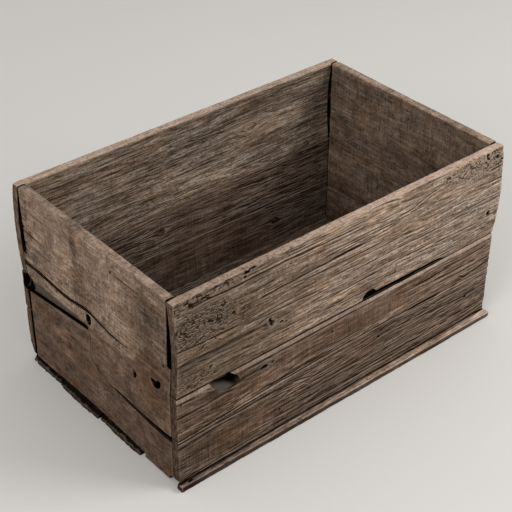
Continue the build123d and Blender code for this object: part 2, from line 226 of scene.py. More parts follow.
def edgeDistances(along, across):
    column = ((along - along.min()) // edgeCell).astype(int)
    low = np.full(column.max() + 1, np.inf)
    high = np.full(column.max() + 1, -np.inf)
    np.minimum.at(low, column, across)
    np.maximum.at(high, column, across)
    return across - low[column], high[column] - across


# the points of a board in millimetres: along the grain, across it, and through from the outer face
def readBoard(board):
    wall = walls[board["wall"]]
    mesh = denseBoard(board["node"], wall, board["voxel"])
    links = meshLinks(mesh)
    rest = smoothed(readPlaces(mesh), links, board["edgeRounds"])
    bulge = rest - smoothed(rest, links, meshing["bulgeRounds"])
    unstretch = np.ones(3)
    unstretch[wall["along"]] = meshing["stretch"]
    rest = rest * unstretch
    writePlaces(mesh, rest)
    normals = readNormals(mesh)
    lowest, highest = [np.array(corner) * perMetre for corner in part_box(board["node"])]
    out = wall["outward"] * rest[:, wall["through"]]
    outermost = highest if wall["outward"] > 0 else lowest

    wood = SimpleNamespace(mesh=mesh, wall=wall, links=links, rest=rest, unstretch=unstretch, normals=normals)
    wood.seed, wood.grainSeed = board["seed"], board["grainSeed"]
    wood.along, wood.across = rest[:, wall["along"]], rest[:, wall["across"]]
    wood.through = wall["outward"] * outermost[wall["through"]] - out
    wood.underFront, wood.underBack = faceDepths(wood.along, wood.across, out)
    wood.aboveLow, wood.belowHigh = edgeDistances(wood.along, wood.across)
    wood.endLow, wood.endHigh = lowest[wall["along"]], highest[wall["along"]]
    wood.top = highest[2]
    wood.facing = wall["outward"] * normals[:, wall["through"]]
    wood.upward = normals[:, wall["across"]]
    wood.edge = smoothStep(0.06, 0.3, (bulge * normals).sum(1))
    wood.outer = smoothStep(0.2, 0.6, wood.facing)
    wood.atEnd = smoothStep(0.5, 0.8, np.abs(normals[:, wall["along"]]))
    wood.flow = grainPlace(wood, board["knots"])
    wood.blank = np.zeros(len(rest))
    return wood


# noises by name: millimetres along, across and through the board, and the number of the draw
flowNoises = {  # across as the grain flows
    "band": (260, 6.5, 40, 2),
    "streak": (75, 2.6, 30, 3),
    "fibre": (22, 1.25, 12, 4),
    "opening": (180, 6.0, 80, 6),
    "openHere": (150, 22, 60, 7),
}
faceNoises = {
    "worn": (130, 60, 60, 5),
    "sawn": (3.6, 70, None, 8),
    "sawHere": (90, 40, None, 9),
    "chip": (17, 11, 9, 10),
    "nick": (5, 4, 4, 11),
    "torn": (None, 5.5, 2.6, 12),
    "tornWide": (None, 19, 9, 13),
    "grey": (170, 70, 30, 14),
    "rubbed": (30, 15, 8, 15),
    "wander": (28, 25, None, 16),
    "wanderFine": (7, 4, None, 17),
    "seam": (13, None, None, 21),
    "grit": (5.0, 3.2, 4, 22),
    "gritFine": (3.0, 2.0, 3, 23),
    "gritHere": (55, 28, 40, 24),
    "foot": (15, None, None, 25),
}
edgeNoises = {  # along, through, across
    "loss": (9, 30, None, 18),
    "pale": (40, 4, None, 19),
}
firstDraws = {
    "checks": 20,
    "pits": 60,
    "granular": 70,
    "holes": 80,
    "blackSpots": 90,
    "tints": 100,
    "lined": 120,
    "smoothPatches": 140,
    "rustSpots": 160,
    "scoops": 180,
}


def drawNoise(places, sizes, seed):
    *lengths, draw = sizes
    scaled = [place / length if length else 0.5 for place, length in zip(places, lengths)]
    return softNoise(*scaled, seed + draw)


def flowNoise(wood, name):
    return drawNoise((wood.along, wood.flow, wood.through), flowNoises[name], wood.grainSeed)


def faceNoise(wood, name):
    return drawNoise((wood.along, wood.across, wood.through), faceNoises[name], wood.seed)


def edgeNoise(wood, name):
    return drawNoise((wood.along, wood.through, wood.across), edgeNoises[name], wood.seed)


def eachMark(wood, board, kind):
    for i, mark in enumerate(board[kind]):
        yield mark, wood.seed + firstDraws[kind] + i


def alongLine(along, points):
    starts, values = zip(*sorted(points))
    return np.interp(along, starts, values)


# forms of the grain and of the marks on the outer face, in millimetres or in shares of a mark's reach
grainShape = {"tilt": 0.35, "bend": 5.0, "bendSize": (210, 75), "ripple": 1.2, "rippleSize": (60, 18),
              "knotStretch": 1.7, "knotCore": 0.7}
checkShape = {"wander": 0.7, "wanderSize": 11, "gapSize": 13, "opens": (-8, 10), "closes": (-14, 8),
              "lipBelow": 1.9, "openDepth": 1.3}
pitShape = {"ragged": 0.35, "raggedSize": (12, 10), "edge": (0.5, 1.15), "bend": 2.5, "bendSize": (9, 7),
            "wormSize": (7, 3.6), "wormWidth": (0.04, 0.24), "gapSize": (7, 5), "gaps": (-0.1, 0.35)}
holeShape = {"ragged": 0.3, "raggedSize": (3.5, 3), "wall": (0.7, 1.1), "shade": (1.05, 1.35)}
patchShape = {"ragged": 0.3, "raggedSize": (14, 7), "edge": (0.35, 1.1)}
spotShape = {"ragged": 0.25, "raggedSize": (5, 5), "edge": (0.8, 1.1)}


def flatNoise(wood, size, seed, across=None):
    across = wood.across if across is None else across
    return softNoise(wood.along / size[0], across / size[1], 0.5, seed)


def grainPlace(wood, knots):
    flow = wood.across + grainShape["tilt"] * wood.through
    flow = flow + grainShape["bend"] * flatNoise(wood, grainShape["bendSize"], wood.grainSeed)
    flow = flow + grainShape["ripple"] * flatNoise(wood, grainShape["rippleSize"], wood.grainSeed + 1)
    for atAlong, atAcross, radius in knots:
        reach = ((wood.along - atAlong) / grainShape["knotStretch"]) ** 2 + (wood.across - atAcross) ** 2
        flow = flow - (wood.across - atAcross) * radius**2 / (reach + grainShape["knotCore"] * radius**2)
    return flow


def patchReach(wood, patch):
    atAlong, atAcross, halfAlong, halfAcross = patch[:4]
    return np.hypot((wood.along - atAlong) / halfAlong, (wood.across - atAcross) / halfAcross)


def softPatch(wood, patch, seed):
    ragged = patchShape["ragged"] * flatNoise(wood, patchShape["raggedSize"], seed)
    return 1 - smoothStep(*patchShape["edge"], patchReach(wood, patch) + ragged)


def checkDepth(wood, check, seed):
    width, depth, points = check
    wander = checkShape["wander"] * softNoise(wood.along / checkShape["wanderSize"], 0.5, 0.5, seed)
    below = wood.across - (alongLine(wood.along, points) + wander)
    starts = sorted(start for start, height in points)
    opens = [starts[0] + step for step in checkShape["opens"]]
    closes = [starts[-1] + step for step in checkShape["closes"]]
    fade = smoothStep(*opens, wood.along) * (1 - smoothStep(*closes, wood.along))
    gaps = softNoise(wood.along / checkShape["gapSize"], 2.5, 0.5, seed)
    fade = fade * np.clip(0.8 + 0.5 * gaps, 0.35, 1)
    lip = np.exp(-(((below + checkShape["lipBelow"] * width) / width) ** 2))
    return depth * fade * np.exp(-((below / width) ** 2)), fade * lip


def pitDepth(wood, patch, seed):
    ragged = pitShape["ragged"] * flatNoise(wood, pitShape["raggedSize"], seed)
    here = 1 - smoothStep(*pitShape["edge"], patchReach(wood, patch) + ragged)
    bent = wood.across + pitShape["bend"] * flatNoise(wood, pitShape["bendSize"], seed + 2)
    winding = np.abs(flatNoise(wood, pitShape["wormSize"], seed + 1, bent))
    worm = 1 - smoothStep(*pitShape["wormWidth"], winding)
    broken = smoothStep(*pitShape["gaps"], flatNoise(wood, pitShape["gapSize"], seed + 3))
    return patch[4] * here * worm * broken, here


def holeDepth(wood, hole, seed):
    reach = patchReach(wood, hole) + holeShape["ragged"] * flatNoise(wood, holeShape["raggedSize"], seed)
    return hole[4] * (1 - smoothStep(*holeShape["wall"], reach)), 1 - smoothStep(*holeShape["shade"], reach)


def spotShare(wood, spot, seed):
    reach = np.linalg.norm(wood.rest - np.array(spot[:3]), axis=1) / spot[3]
    ragged = spotShape["ragged"] * flatNoise(wood, spotShape["raggedSize"], seed)
    return 1 - smoothStep(*spotShape["edge"], reach + ragged)


def facetShares(wood, facet):
    starts, lows, highs = zip(*sorted(facet["lines"]))
    low, high = np.interp(wood.along, starts, lows), np.interp(wood.along, starts, highs)
    inside = smoothStep(-0.6, 0.6, high - wood.across) * smoothStep(-2.0, -1.0, wood.across - low)
    inside = inside * smoothStep(starts[0] - 2, starts[0] + 4, wood.along)
    inside = inside * (1 - smoothStep(starts[-1] - 4, starts[-1] + 2, wood.along))
    return inside, np.clip((high - wood.across) / np.maximum(high - low, 1.0), 0, 1)


# where the wood is smooth: in patches, under the line of the rough wood, and on facets
def smoothAreas(wood, board):
    wood.rough = wood.blank + 1
    for patch, seed in eachMark(wood, board, "smoothPatches"):
        wood.rough = wood.rough * (1 - softPatch(wood, patch, seed))
    if board["roughLine"]:
        soft = board["roughSoft"]
        wander = 9 * faceNoise(wood, "wander") + 4 * faceNoise(wood, "wanderFine")
        above = wood.across + 0.1 * soft * wander - alongLine(wood.along, board["roughLine"])
        wood.rough = wood.rough * smoothStep(-soft, soft, above)
    bevelled = wood.blank
    wood.bevelDepth = wood.blank
    for facet in board["facets"]:
        inside, fall = facetShares(wood, facet)
        inside = inside * wood.outer
        bevelled = np.maximum(bevelled, inside)
        wood.bevelDepth = np.maximum(wood.bevelDepth, facet["depth"] * inside * fall)
    wood.rough = wood.rough * (1 - bevelled)
    wood.bare = 0.75 * bevelled


# the soft wood between the rings has weathered away, and long checks have opened along the grain
def weatherGrain(wood, board):
    relief = board["ridge"] * (0.75 + 0.35 * faceNoise(wood, "worn")) * (0.3 + 0.7 * wood.rough)
    valley = np.clip(-(0.5 * flowNoise(wood, "band") + 0.5 * flowNoise(wood, "streak")) - 0.02, 0, 1)
    cut = relief * (0.14 * (1 - flowNoise(wood, "fibre")) + 1.6 * valley)
    grit = 0.6 * faceNoise(wood, "grit") + 0.4 * faceNoise(wood, "gritFine")
    gritHere = smoothStep(-0.4, 0.5, faceNoise(wood, "gritHere"))
    cut = cut + board["grit"] * (0.25 + 0.75 * wood.rough) * (0.4 + 0.6 * gritHere) * np.clip(grit, 0, 1)
    opening = 1 - smoothStep(0.02, 0.11, np.abs(flowNoise(wood, "opening")))
    openHere = flowNoise(wood, "openHere") - 0.45 + board["checking"]
    wood.line = opening * smoothStep(0.0, 0.35, openHere) * (0.2 + 0.8 * wood.rough)
    wood.line = wood.line * (1 - smoothStep(0.4, 0.8, np.abs(wood.upward)))
    cut = cut + checkShape["openDepth"] * wood.line
    sawn = faceNoise(wood, "sawn") * smoothStep(0.0, 0.5, faceNoise(wood, "sawHere"))
    cut = cut + 0.12 * board["sawMarks"] * (1 + sawn)
    wood.cut = cut * (1 - 0.6 * wood.atEnd) + wood.bevelDepth


def placeMarks(wood, board):
    wood.marked = wood.lips = wood.pitted = wood.deep = wood.blank
    # each check is cut, darkened, and gets a painted highlight on its lower lip
    for check, seed in eachMark(wood, board, "checks"):
        depth, lip = checkDepth(wood, check, seed)
        wood.marked = np.maximum(wood.marked, (depth * wood.outer / 1.4) ** 1.4)
        wood.lips = np.maximum(wood.lips, lip * wood.outer)
        wood.cut = np.maximum(wood.cut, depth * wood.outer)
    for patch, seed in eachMark(wood, board, "pits"):
        depth, here = pitDepth(wood, patch, seed)
        wood.pitted = np.maximum(wood.pitted, 0.6 * here * wood.outer)
        wood.marked = np.maximum(wood.marked, depth * wood.outer / 2)
        wood.cut = wood.cut + 0.6 * depth * wood.outer
    for patch, seed in eachMark(wood, board, "granular"):
        wood.pitted = np.maximum(wood.pitted, softPatch(wood, patch, seed) * wood.outer)
    # the inside of each hole is painted dark as shadow
    for hole, seed in eachMark(wood, board, "holes"):
        depth, inside = holeDepth(wood, hole, seed)
        wood.deep = np.maximum(wood.deep, inside * wood.outer)
        wood.cut = np.maximum(wood.cut, depth * wood.outer)
    # black spots are painted shadow in gaps
    for spot, seed in eachMark(wood, board, "blackSpots"):
        wood.deep = np.maximum(wood.deep, spotShare(wood, spot, seed))
    chip = np.clip(faceNoise(wood, "chip") - 0.1, 0, 1)
    nick = np.clip(faceNoise(wood, "nick"), 0, 1)
    wood.cut = wood.cut + wood.edge * (board["chips"] * chip + 0.25 * board["chips"] * nick)


# a small mouth and some rust in the wood over each nail
nailMark = {"mouthDepth": 2.0, "rustReach": (2.0, 9.0), "past": 3}  # mm


def openNailMouths(wood, board):
    wood.rust = wood.blank
    mouth = board["nailMouth"]
    for low, high in nailBoxes:
        axis = int(np.argmax(high - low))
        place = wood.rest[:, axis]
        near = np.linalg.norm(np.delete(wood.rest - (low + high) / 2, axis, 1), axis=1)
        inside = (place > low[axis] - nailMark["past"]) & (place < high[axis] + nailMark["past"])
        over = smoothStep(0.4, 0.8, np.abs(wood.normals[:, axis])) * inside
        dent = nailMark["mouthDepth"] * (1 - smoothStep(mouth * 0.8, mouth * 1.3, near))
        wood.cut = np.maximum(wood.cut, dent * over)
        wood.rust = np.maximum(wood.rust, (1 - smoothStep(*nailMark["rustReach"], near)) * over)


# pushed rims, split fibres at the ends, worn edges, and rot under the left ends of the planks
def shapeBoard(wood, board):
    wall = wood.wall
    places = wood.rest - wood.normals * wood.cut[:, None]
    for atAlong, atAcross, reach, shift in board["pushes"]:
        near = np.exp(-((wood.along - atAlong) ** 2 + (wood.across - atAcross) ** 2) / reach**2)
        places[:, wall["along"]] += shift * near
    torn = 0.5 + 0.5 * faceNoise(wood, "torn")
    wood.torn = np.clip(torn + 0.35 * faceNoise(wood, "tornWide"), 0, 1.3)
    lowRag, highRag = board["ragged"]
    for end, rag, way in ((wood.endLow, lowRag, 1), (wood.endHigh, highRag, -1)):
        nearEnd = 1 - smoothStep(0, 3 + 3 * rag, np.abs(wood.along - end))
        places[:, wall["along"]] += way * rag * wood.torn**2 * nearEnd
    ragged = 0.7 + 0.6 * edgeNoise(wood, "loss")
    for distance, loss, way in ((wood.aboveLow, "lowerLoss", 1), (wood.belowHigh, "upperLoss", -1)):
        lost = alongLine(wood.along, board[loss]) * ragged * (1 - smoothStep(0, 6, distance))
        places[:, wall["across"]] += way * lost
    rotten = board["rot"] * (1 - smoothStep(wood.endLow + 3, wood.endLow + 14, wood.along + 4 * wood.torn))
    places[:, wall["through"]] -= wall["outward"] * rotten * np.clip(wood.underBack / 9, 0, 1)
    writePlaces(wood.mesh, places)
    wood.normals = readNormals(wood.mesh)
    level = places / wood.unstretch
    wood.hollow = ((smoothed(level, wood.links, meshing["bulgeRounds"]) - level) * wood.normals).sum(1)


# painted shadow in the joints, behind the ends and inside the holes
def darkenJoints(wood, board):
    fromEdge = np.minimum(wood.aboveLow, wood.belowHigh)
    lip = np.where(fromEdge > 9, alongLine(wood.along, board["holeLip"]), alongLine(wood.along, board["lip"]))
    joint = 1 - smoothStep(0.55, 0.85, np.abs(wood.facing))
    joint = joint * smoothStep(lip, lip + 1.6, np.minimum(wood.underFront, wood.underBack))
    openEdge = board["openEdge"] * wood.upward > 0.3
    joint = np.where(openEdge & (fromEdge < 9), 0, joint * (1 - wood.atEnd))
    if board["covered"]:
        pastEnd = smoothStep(board["covered"], board["covered"] + 2, np.abs(wood.along))
        joint = np.maximum(joint, smoothStep(0.3, 0.6, -wood.facing) * pastEnd)
    if board["darkEnds"]:
        joint = np.maximum(joint, wood.atEnd * smoothStep(0.8, 2.0, wood.underFront))
    wood.deep = np.maximum(wood.deep, joint)


# dirt with painted shade in the hollows, checks and seams, and painted shadow at the foot of the walls and in
# a scooped hollow
scoopShadow = {"lean": 0.92, "rise": 12, "run": 28, "tipFrom": 6, "tipRun": 16, "edge": (-0.1, 0.95)}  # mm


def paintDirtAndShade(wood, board):
    # darker in hollows, open grain, checks and pits: dirt with painted shade
    dirt = 0.6 * np.clip((wood.hollow - 0.08) / 0.4, 0, 1)
    dirt = dirt + 0.6 * wood.line * (1 - wood.atEnd) + 0.9 * np.clip(wood.marked, 0, 1)
    uneven = 1 + 0.35 * faceNoise(wood, "seam")
    # seams darkened with dirt and painted shadow
    for distance, seam in ((wood.belowHigh, "seamTop"), (wood.aboveLow, "seamLow")):
        width = alongLine(wood.along, board[seam]) * uneven
        seamed = (1 - smoothStep(width, width + 0.9, distance)) * wood.outer * (width > 0.05)
        dirt = np.maximum(dirt, seamed)
        wood.deep = np.maximum(wood.deep, alongLine(wood.along, board["seamDark"]) * seamed)
    # painted shadow at the foot of the wall
    if board["footLine"]:
        foot = alongLine(wood.along, board["footLine"]) + 0.5 * faceNoise(wood, "foot")
        wood.deep = np.maximum(wood.deep, 0.9 * smoothStep(foot - 1.2, foot, wood.across) * wood.outer)
    for patch, seed in eachMark(wood, board, "scoops"):
        scoop = softPatch(wood, patch, seed) * smoothStep(0.8, 2.2, wood.through)
        wood.bare = np.maximum(wood.bare, scoop)
        right = wood.along - patch[0]
        height = wood.across + scoopShadow["lean"] * wood.through - patch[1]
        slope = height / scoopShadow["rise"] + right / scoopShadow["run"]
        slope = slope + np.maximum(right - scoopShadow["tipFrom"], 0) / scoopShadow["tipRun"]
        dirt = dirt * (1 - scoop)
        wood.deep = wood.deep * (1 - scoop) + scoop * smoothStep(*scoopShadow["edge"], slope)
    # painted shadow on the plank under the end wall
    if board["rot"]:
        underWall = smoothStep(wood.endLow + 1.5, wood.endLow + 4.5, wood.along)
        underWall = underWall * (1 - smoothStep(wood.endLow + 10, wood.endLow + 16, wood.along))
        wood.deep = np.maximum(wood.deep, 0.9 * underWall)
    # painted shade on the low edge
    wood.dirt = np.maximum(dirt, board["lowEdgeShade"] * smoothStep(0.5, 0.9, -wood.upward))


# pale rubbed edges, the bleached rim and the ledges
def rubEdges(wood, board):
    top, bottom, ends = board["wear"]
    share = top * np.clip(wood.upward, 0, 1) + bottom * np.clip(-wood.upward, 0, 1)
    share = share + ends * np.abs(wood.normals[:, wood.wall["along"]])
    wear = wood.edge * share * (0.8 + 0.5 * faceNoise(wood, "rubbed"))
    rim = alongLine(wood.along, board["bleach"]) * smoothStep(0.5, 0.85, wood.upward)
    rim = rim * smoothStep(wood.top - 6, wood.top - 2, wood.rest[:, 2])
    height = board["ledgeHeight"]
    under = wood.belowHigh + 0.8 * wood.torn - 0.4
    ledge = alongLine(wood.along, board["ledge"]) * wood.outer
    ledge = ledge * (1 - smoothStep(height - 0.8, height + 1.0, under))
    wear = np.maximum(wear, np.maximum(rim, ledge) * (0.9 + 0.2 * edgeNoise(wood, "pale")))
    if board["rot"]:
        fibres = 1 - smoothStep(wood.endLow + 1, wood.endLow + 4, wood.along - 2 * wood.torn)
        wear = np.maximum(wear, 0.3 * fibres)
    wood.wear = wear


# lighter, darker, greyer and rusty places, and where the grain stands out
def stainBoard(wood, board):
    grey = smoothStep(-0.5, 0.6, faceNoise(wood, "grey") + board["grey"])
    wood.grey = wood.rough if board["roughLine"] else grey * wood.rough
    wood.rust = wood.rust * board["rust"]
    for patch, seed in eachMark(wood, board, "rustSpots"):
        wood.rust = np.maximum(wood.rust, softPatch(wood, patch, seed) * wood.outer)
    # brightness along the board: on the front boards partly painted light falling off to the left, on the
    # inner and rear planks painted shade under the left wall
    shade = alongLine(wood.along, board["tones"])
    shade = shade * (1 + (alongLine(wood.along, board["rimTone"]) - 1) * smoothStep(0.5, 0.85, wood.upward))
    shade = shade * (1 - wood.atEnd) + alongLine(wood.across, board["endTone"]) * wood.atEnd
    for tint, seed in eachMark(wood, board, "tints"):
        factor = tint[4]
        shade = shade * (1 + (factor - 1) * softPatch(wood, tint, seed) * wood.outer * (1 - wood.atEnd))
    wood.shade = shade
    wood.lined = wood.blank + board["linedLeast"]
    for patch, seed in eachMark(wood, board, "lined"):
        amount = patch[4]
        wood.lined = wood.lined + (amount - wood.lined) * softPatch(wood, patch, seed)


def writeMarks(wood, board):
    unmarked = 1 - np.clip(4 * wood.marked, 0, 1)
    marks = {
        "wear": np.clip(wood.wear, 0, 1),
        "lined": wood.lined,
        "dirt": np.clip(wood.dirt, 0, 1),
        # painted highlight on raised places and on the lips below the checks
        "raised": np.maximum(0.5 * np.clip(-wood.hollow / 0.3, 0, 1), 0.9 * wood.lips) * unmarked,
        "grey": wood.grey,
        "rust": wood.rust,
        "endGrain": wood.atEnd,
        "shade": wood.shade,
        "bare": wood.bare,
        "pitted": wood.pitted,
        "deep": np.clip(wood.deep, 0, 1),
        "warmth": alongLine(wood.along, board["warmth"]),
    }
    for name, values in marks.items():
        attribute = wood.mesh.attributes.new(name, "FLOAT", "POINT")
        attribute.data.foreach_set("value", values.astype(np.float32))
    apart = 100 * (wood.grainSeed % 17)  # mm, so that no two trees share a grain
    grain = np.stack([wood.along, wood.flow, wood.through + apart], 1)
    attribute = wood.mesh.attributes.new("grain", "FLOAT_VECTOR", "POINT")
    attribute.data.foreach_set("vector", grain.astype(np.float32).ravel())


def dressBoard(board):
    wood = readBoard(board)
    for stage in (smoothAreas, weatherGrain, placeMarks, openNailMouths, shapeBoard,
                  darkenJoints, paintDirtAndShade, rubEdges, stainBoard, writeMarks):
        stage(wood, board)
    mesh = wood.mesh
    mesh.polygons.foreach_set("use_smooth", np.ones(len(mesh.polygons), bool))
    mesh.materials.clear()
    mesh.materials.append(weatheredWood(board["look"]))
    piece = bpy.data.objects.new(board["piece"], mesh)
    scene.collection.objects.link(piece)
    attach(piece, "root")
    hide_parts(board["node"])
    print(board["piece"], len(mesh.polygons), "faces")


# node helpers
def tone(red, green, blue):
    shares = [value / 255 for value in (red, green, blue)]
    linear = [((share + 0.055) / 1.055) ** 2.4 if share > 0.04 else share / 12.92 for share in shares]
    return (*linear, 1.0)


shading = SimpleNamespace(tree=None)  # nodes go into the tree that was started last


def startTree(tree):
    tree.nodes.clear()
    shading.tree = tree


def emptyMaterial(name):
    material = bpy.data.materials.new(name)
    material.use_nodes = True
    startTree(material.node_tree)
    return material


def addNode(kind, inputs, **settings):
    node = shading.tree.nodes.new("ShaderNode" + kind)
    for key, value in settings.items():
        setattr(node, key, value)
    for key, value in inputs.items():
        if isinstance(value, bpy.types.NodeSocket):
            shading.tree.links.new(value, node.inputs[key])
        else:
            node.inputs[key].default_value = value
    return node


def addSurface(inputs):
    shader = addNode("BsdfPrincipled", inputs)
    addNode("OutputMaterial", {"Surface": shader.outputs[0]})


def readMark(name, output="Fac"):
    return addNode("Attribute", {}, attribute_name=name).outputs[output]


def calculate(operation, first, second=0.0, clamp=False):
    return addNode("Math", {0: first, 1: second}, operation=operation, use_clamp=clamp).outputs[0]


def plus(first, second):
    return calculate("ADD", first, second)


def minus(first, second):
    return calculate("SUBTRACT", first, second)


def times(first, second):
    return calculate("MULTIPLY", first, second)


def larger(first, second):
    return calculate("MAXIMUM", first, second)


def brighten(colour, factor):
    return addNode("VectorMath", {0: colour, "Scale": factor}, operation="SCALE").outputs[0]


def blendColour(share, first, second, blend="MIX"):
    node = addNode("Mix", {0: share, 6: first, 7: second}, data_type="RGBA", blend_type=blend)
    return node.outputs[2]


def spread(value, low, high, toLow=0.0, toHigh=1.0):
    inputs = {"Value": value, 1: low, 2: high, 3: toLow, 4: toHigh}
    return addNode("MapRange", inputs, interpolation_type="SMOOTHSTEP").outputs[0]


def between(share, toLow, toHigh):
    return spread(share, 0.0, 1.0, toLow, toHigh)


def toneRamp(value, stops):
    node = addNode("ValToRGB", {"Fac": value})
    ramp = node.color_ramp
    while len(ramp.elements) < len(stops):
        ramp.elements.new(0.5)
    for element, (place, colour) in zip(ramp.elements, stops):
        element.position = place
        element.color = colour
    return node.outputs["Color"]


def placeNoise(place, scale, detail, roughness, distortion=0.0):
    inputs = {"Vector": place, "Scale": scale, "Detail": detail, "Roughness": roughness}
    return addNode("TexNoise", {**inputs, "Distortion": distortion}).outputs["Fac"]


def grainNoise(grain, stretch, detail, roughness, distortion=0.0):
    stretched = addNode("VectorMath", {0: grain, 1: stretch}, operation="MULTIPLY").outputs[0]
    return placeNoise(stretched, 1.0, detail, roughness, distortion)


# the same noise twice, the second time a little lower on the board
def raisedPair(grain, lift, *noise):
    pair = []
    for rise in (0.0, lift):
        moved = addNode("VectorMath", {0: grain, 1: (0.0, rise, 0.0)}).outputs[0]
        pair.append(grainNoise(moved, *noise))
    return pair


# dark lines where the grain has opened, and a painted highlight on the lip below each
def openGrain(grain, line, widths, here):
    shares = []
    for noise in raisedPair(grain, line["lift"], *line["noise"]):
        away = calculate("ABSOLUTE", minus(noise, 0.5))
        shares.append(times(spread(away, *widths, 1.0, 0.0), here))
    dark = times(shares[0], between(shares[1], 1.0, 0.25))
    pale = times(shares[1], between(shares[0], 1.0, 0.0))
    return dark, pale


# small ragged pits, darkened with dirt and painted shade, and a painted highlight on the lip below each
def crumbled(grain, level):
    shares = []
    for noise in raisedPair(grain, pocks["lift"], *pocks["noise"]):
        shares.append(spread(minus(level, noise), *pocks["wall"], 0.0, pocks["dark"]))
    return shares


# how far a noise leaves its middle, on smooth wood and on rough
def strengthen(noise, rough, gains):
    return times(minus(noise, 0.5), between(rough, *gains))


# noises in the wood: stretch along, across and through the grain, detail, roughness and distortion
woodNoises = {
    "band": ((0.006, 0.07, 0.03), 4.0, 0.55),
    "streak": ((0.018, 0.22, 0.05), 4.0, 0.6),
    "fine": ((0.045, 0.6, 0.2), 5.0, 0.65),
    "hair": ((0.11, 4.0, 1.0), 3.0, 0.6),
    "blotch": ((0.012, 0.024, 0.03), 5.0, 0.6),
    "drift": ((0.012, 0.03, 0.03), 4.0, 0.6),
    "saw": ((0.44, 0.014, 0.05), 2.0, 0.6),
    "ends": ((0.004, 0.09, 0.3), 6.0, 0.62),
}
turnedNoises = {
    "mottle": ((0.2, 0.24, 0.3), 6.0, 0.68, 0.8),
    "cloud": ((0.045, 0.055, 0.05), 4.0, 0.65, 0.5),
}
turnedBy = 0.6  # radians
ripples = {"Scale": 0.1, "Distortion": 7.0, "Detail": 2.5, "Detail Scale": 0.13}
grainLines = {
    "wide": {"noise": ((0.0045, 0.075, 0.02), 2.0, 0.5), "lift": 1.7,
             "here": ((0.009, 0.06, 0.02), 3.0, 0.6)},
    "thin": {"noise": ((0.009, 0.14, 0.04), 2.0, 0.5), "lift": 1.2,
             "here": ((0.012, 0.08, 0.03), 3.0, 0.6)},
}
pocks = {"noise": ((0.17, 0.3, 0.3), 3.0, 0.55, 1.0), "lift": 1.3, "wall": (0.0, 0.04), "dark": 0.9}
markNames = ("wear", "lined", "dirt", "raised", "grey", "rust", "endGrain", "shade", "bare", "pitted",
             "deep", "warmth")


def woodPatterns():
    grain = readMark("grain", "Vector")
    turned = addNode("VectorRotate", {"Vector": grain, "Angle": turnedBy}, rotation_type="Z_AXIS").outputs[0]
    noise = SimpleNamespace(grain=grain)
    for place, noises in ((grain, woodNoises), (turned, turnedNoises)):
        for name, values in noises.items():
            setattr(noise, name, grainNoise(place, *values))
    noise.ripple = addNode("TexWave", {"Vector": grain, **ripples}).outputs["Fac"]
    return noise


def grainLineShares(look, noise, mark):
    lined = times(mark.lined, 0.25)
    strength = between(mark.grey, look["lineLow"], look["lineHigh"])
    strength = times(strength, between(mark.pitted, 1.0, 0.3))
    darks, pales = [], []
    for kind, line in grainLines.items():
        here = plus(grainNoise(noise.grain, *line["here"]), lined)
        here = spread(here, *look[kind + "Here"])
        dark, pale = openGrain(noise.grain, line, look[kind + "Core"], here)
        darks.append(dark)
        pales.append(pale)
    return times(larger(*darks), strength), times(larger(*pales), strength)


def ringShare(look, noise, mark):
    mixed = plus(times(noise.streak, 0.45), times(noise.fine, 0.55))
    mixed = plus(times(mixed, 0.8), times(noise.band, 0.2))
    mixed = strengthen(mixed, mark.grey, look["grainGain"])
    mixed = times(mixed, between(mark.pitted, 1.0, 0.35))
    mixed = times(mixed, spread(mark.lined, -1.0, 0.0, 0.4, 1.0))
    return plus(mixed, 0.5)


def speckleShare(look, noise, mark):
    grit = strengthen(noise.mottle, mark.grey, look["speckle"])
    grit = times(grit, between(mark.pitted, 1.0, 1.5))
    grit = plus(grit, times(calculate("MINIMUM", grit, 0.0), 0.6))  # the dark ones darker
    speckle = plus(grit, 1.0)
    for pattern, gains in ((noise.ripple, "ripple"), (noise.saw, "sawGain"), (noise.cloud, "cloudGain")):
        speckle = plus(speckle, strengthen(pattern, mark.grey, look[gains]))
    return speckle


def plainWood(look, noise, mark, rings, speckle):
    browns = [(0.41, look["dark"]), (0.48, look["mid"]), (0.53, look["pale"]), (0.59, look["bright"])]
    greys = [(0.41, look["greyDark"]), (0.5, look["greyMid"]), (0.58, look["greyPale"])]
    greyShare = times(mark.grey, spread(noise.blotch, 0.36, 0.6, look["greyLeast"], 1.0))
    colour = blendColour(greyShare, toneRamp(rings, browns), toneRamp(rings, greys))
    colour = brighten(colour, speckle)
    drift = times(minus(noise.drift, 0.5), 3.0)
    warmth = calculate("ADD", mark.warmth, drift, clamp=True)
    hue = blendColour(warmth, look["cool"], look["warm"])
    colour = addNode("VectorMath", {0: colour, 1: hue}, operation="MULTIPLY").outputs[0]
    stained = spread(noise.blotch, 0.44, 0.64, 0.0, 0.5)
    colour = blendColour(stained, colour, look["stain"], "MULTIPLY")
    return blendColour(spread(noise.hair, 0.3, 0.52, 0.38, 0.0), colour, look["dark"])


def endGrain(look, noise, mark):
    stops = [(0.36, look["crack"]), (0.48, look["endMid"]), (0.62, look["endPale"])]
    return brighten(toneRamp(noise.ends, stops), mark.shade)


madeWoods = {}


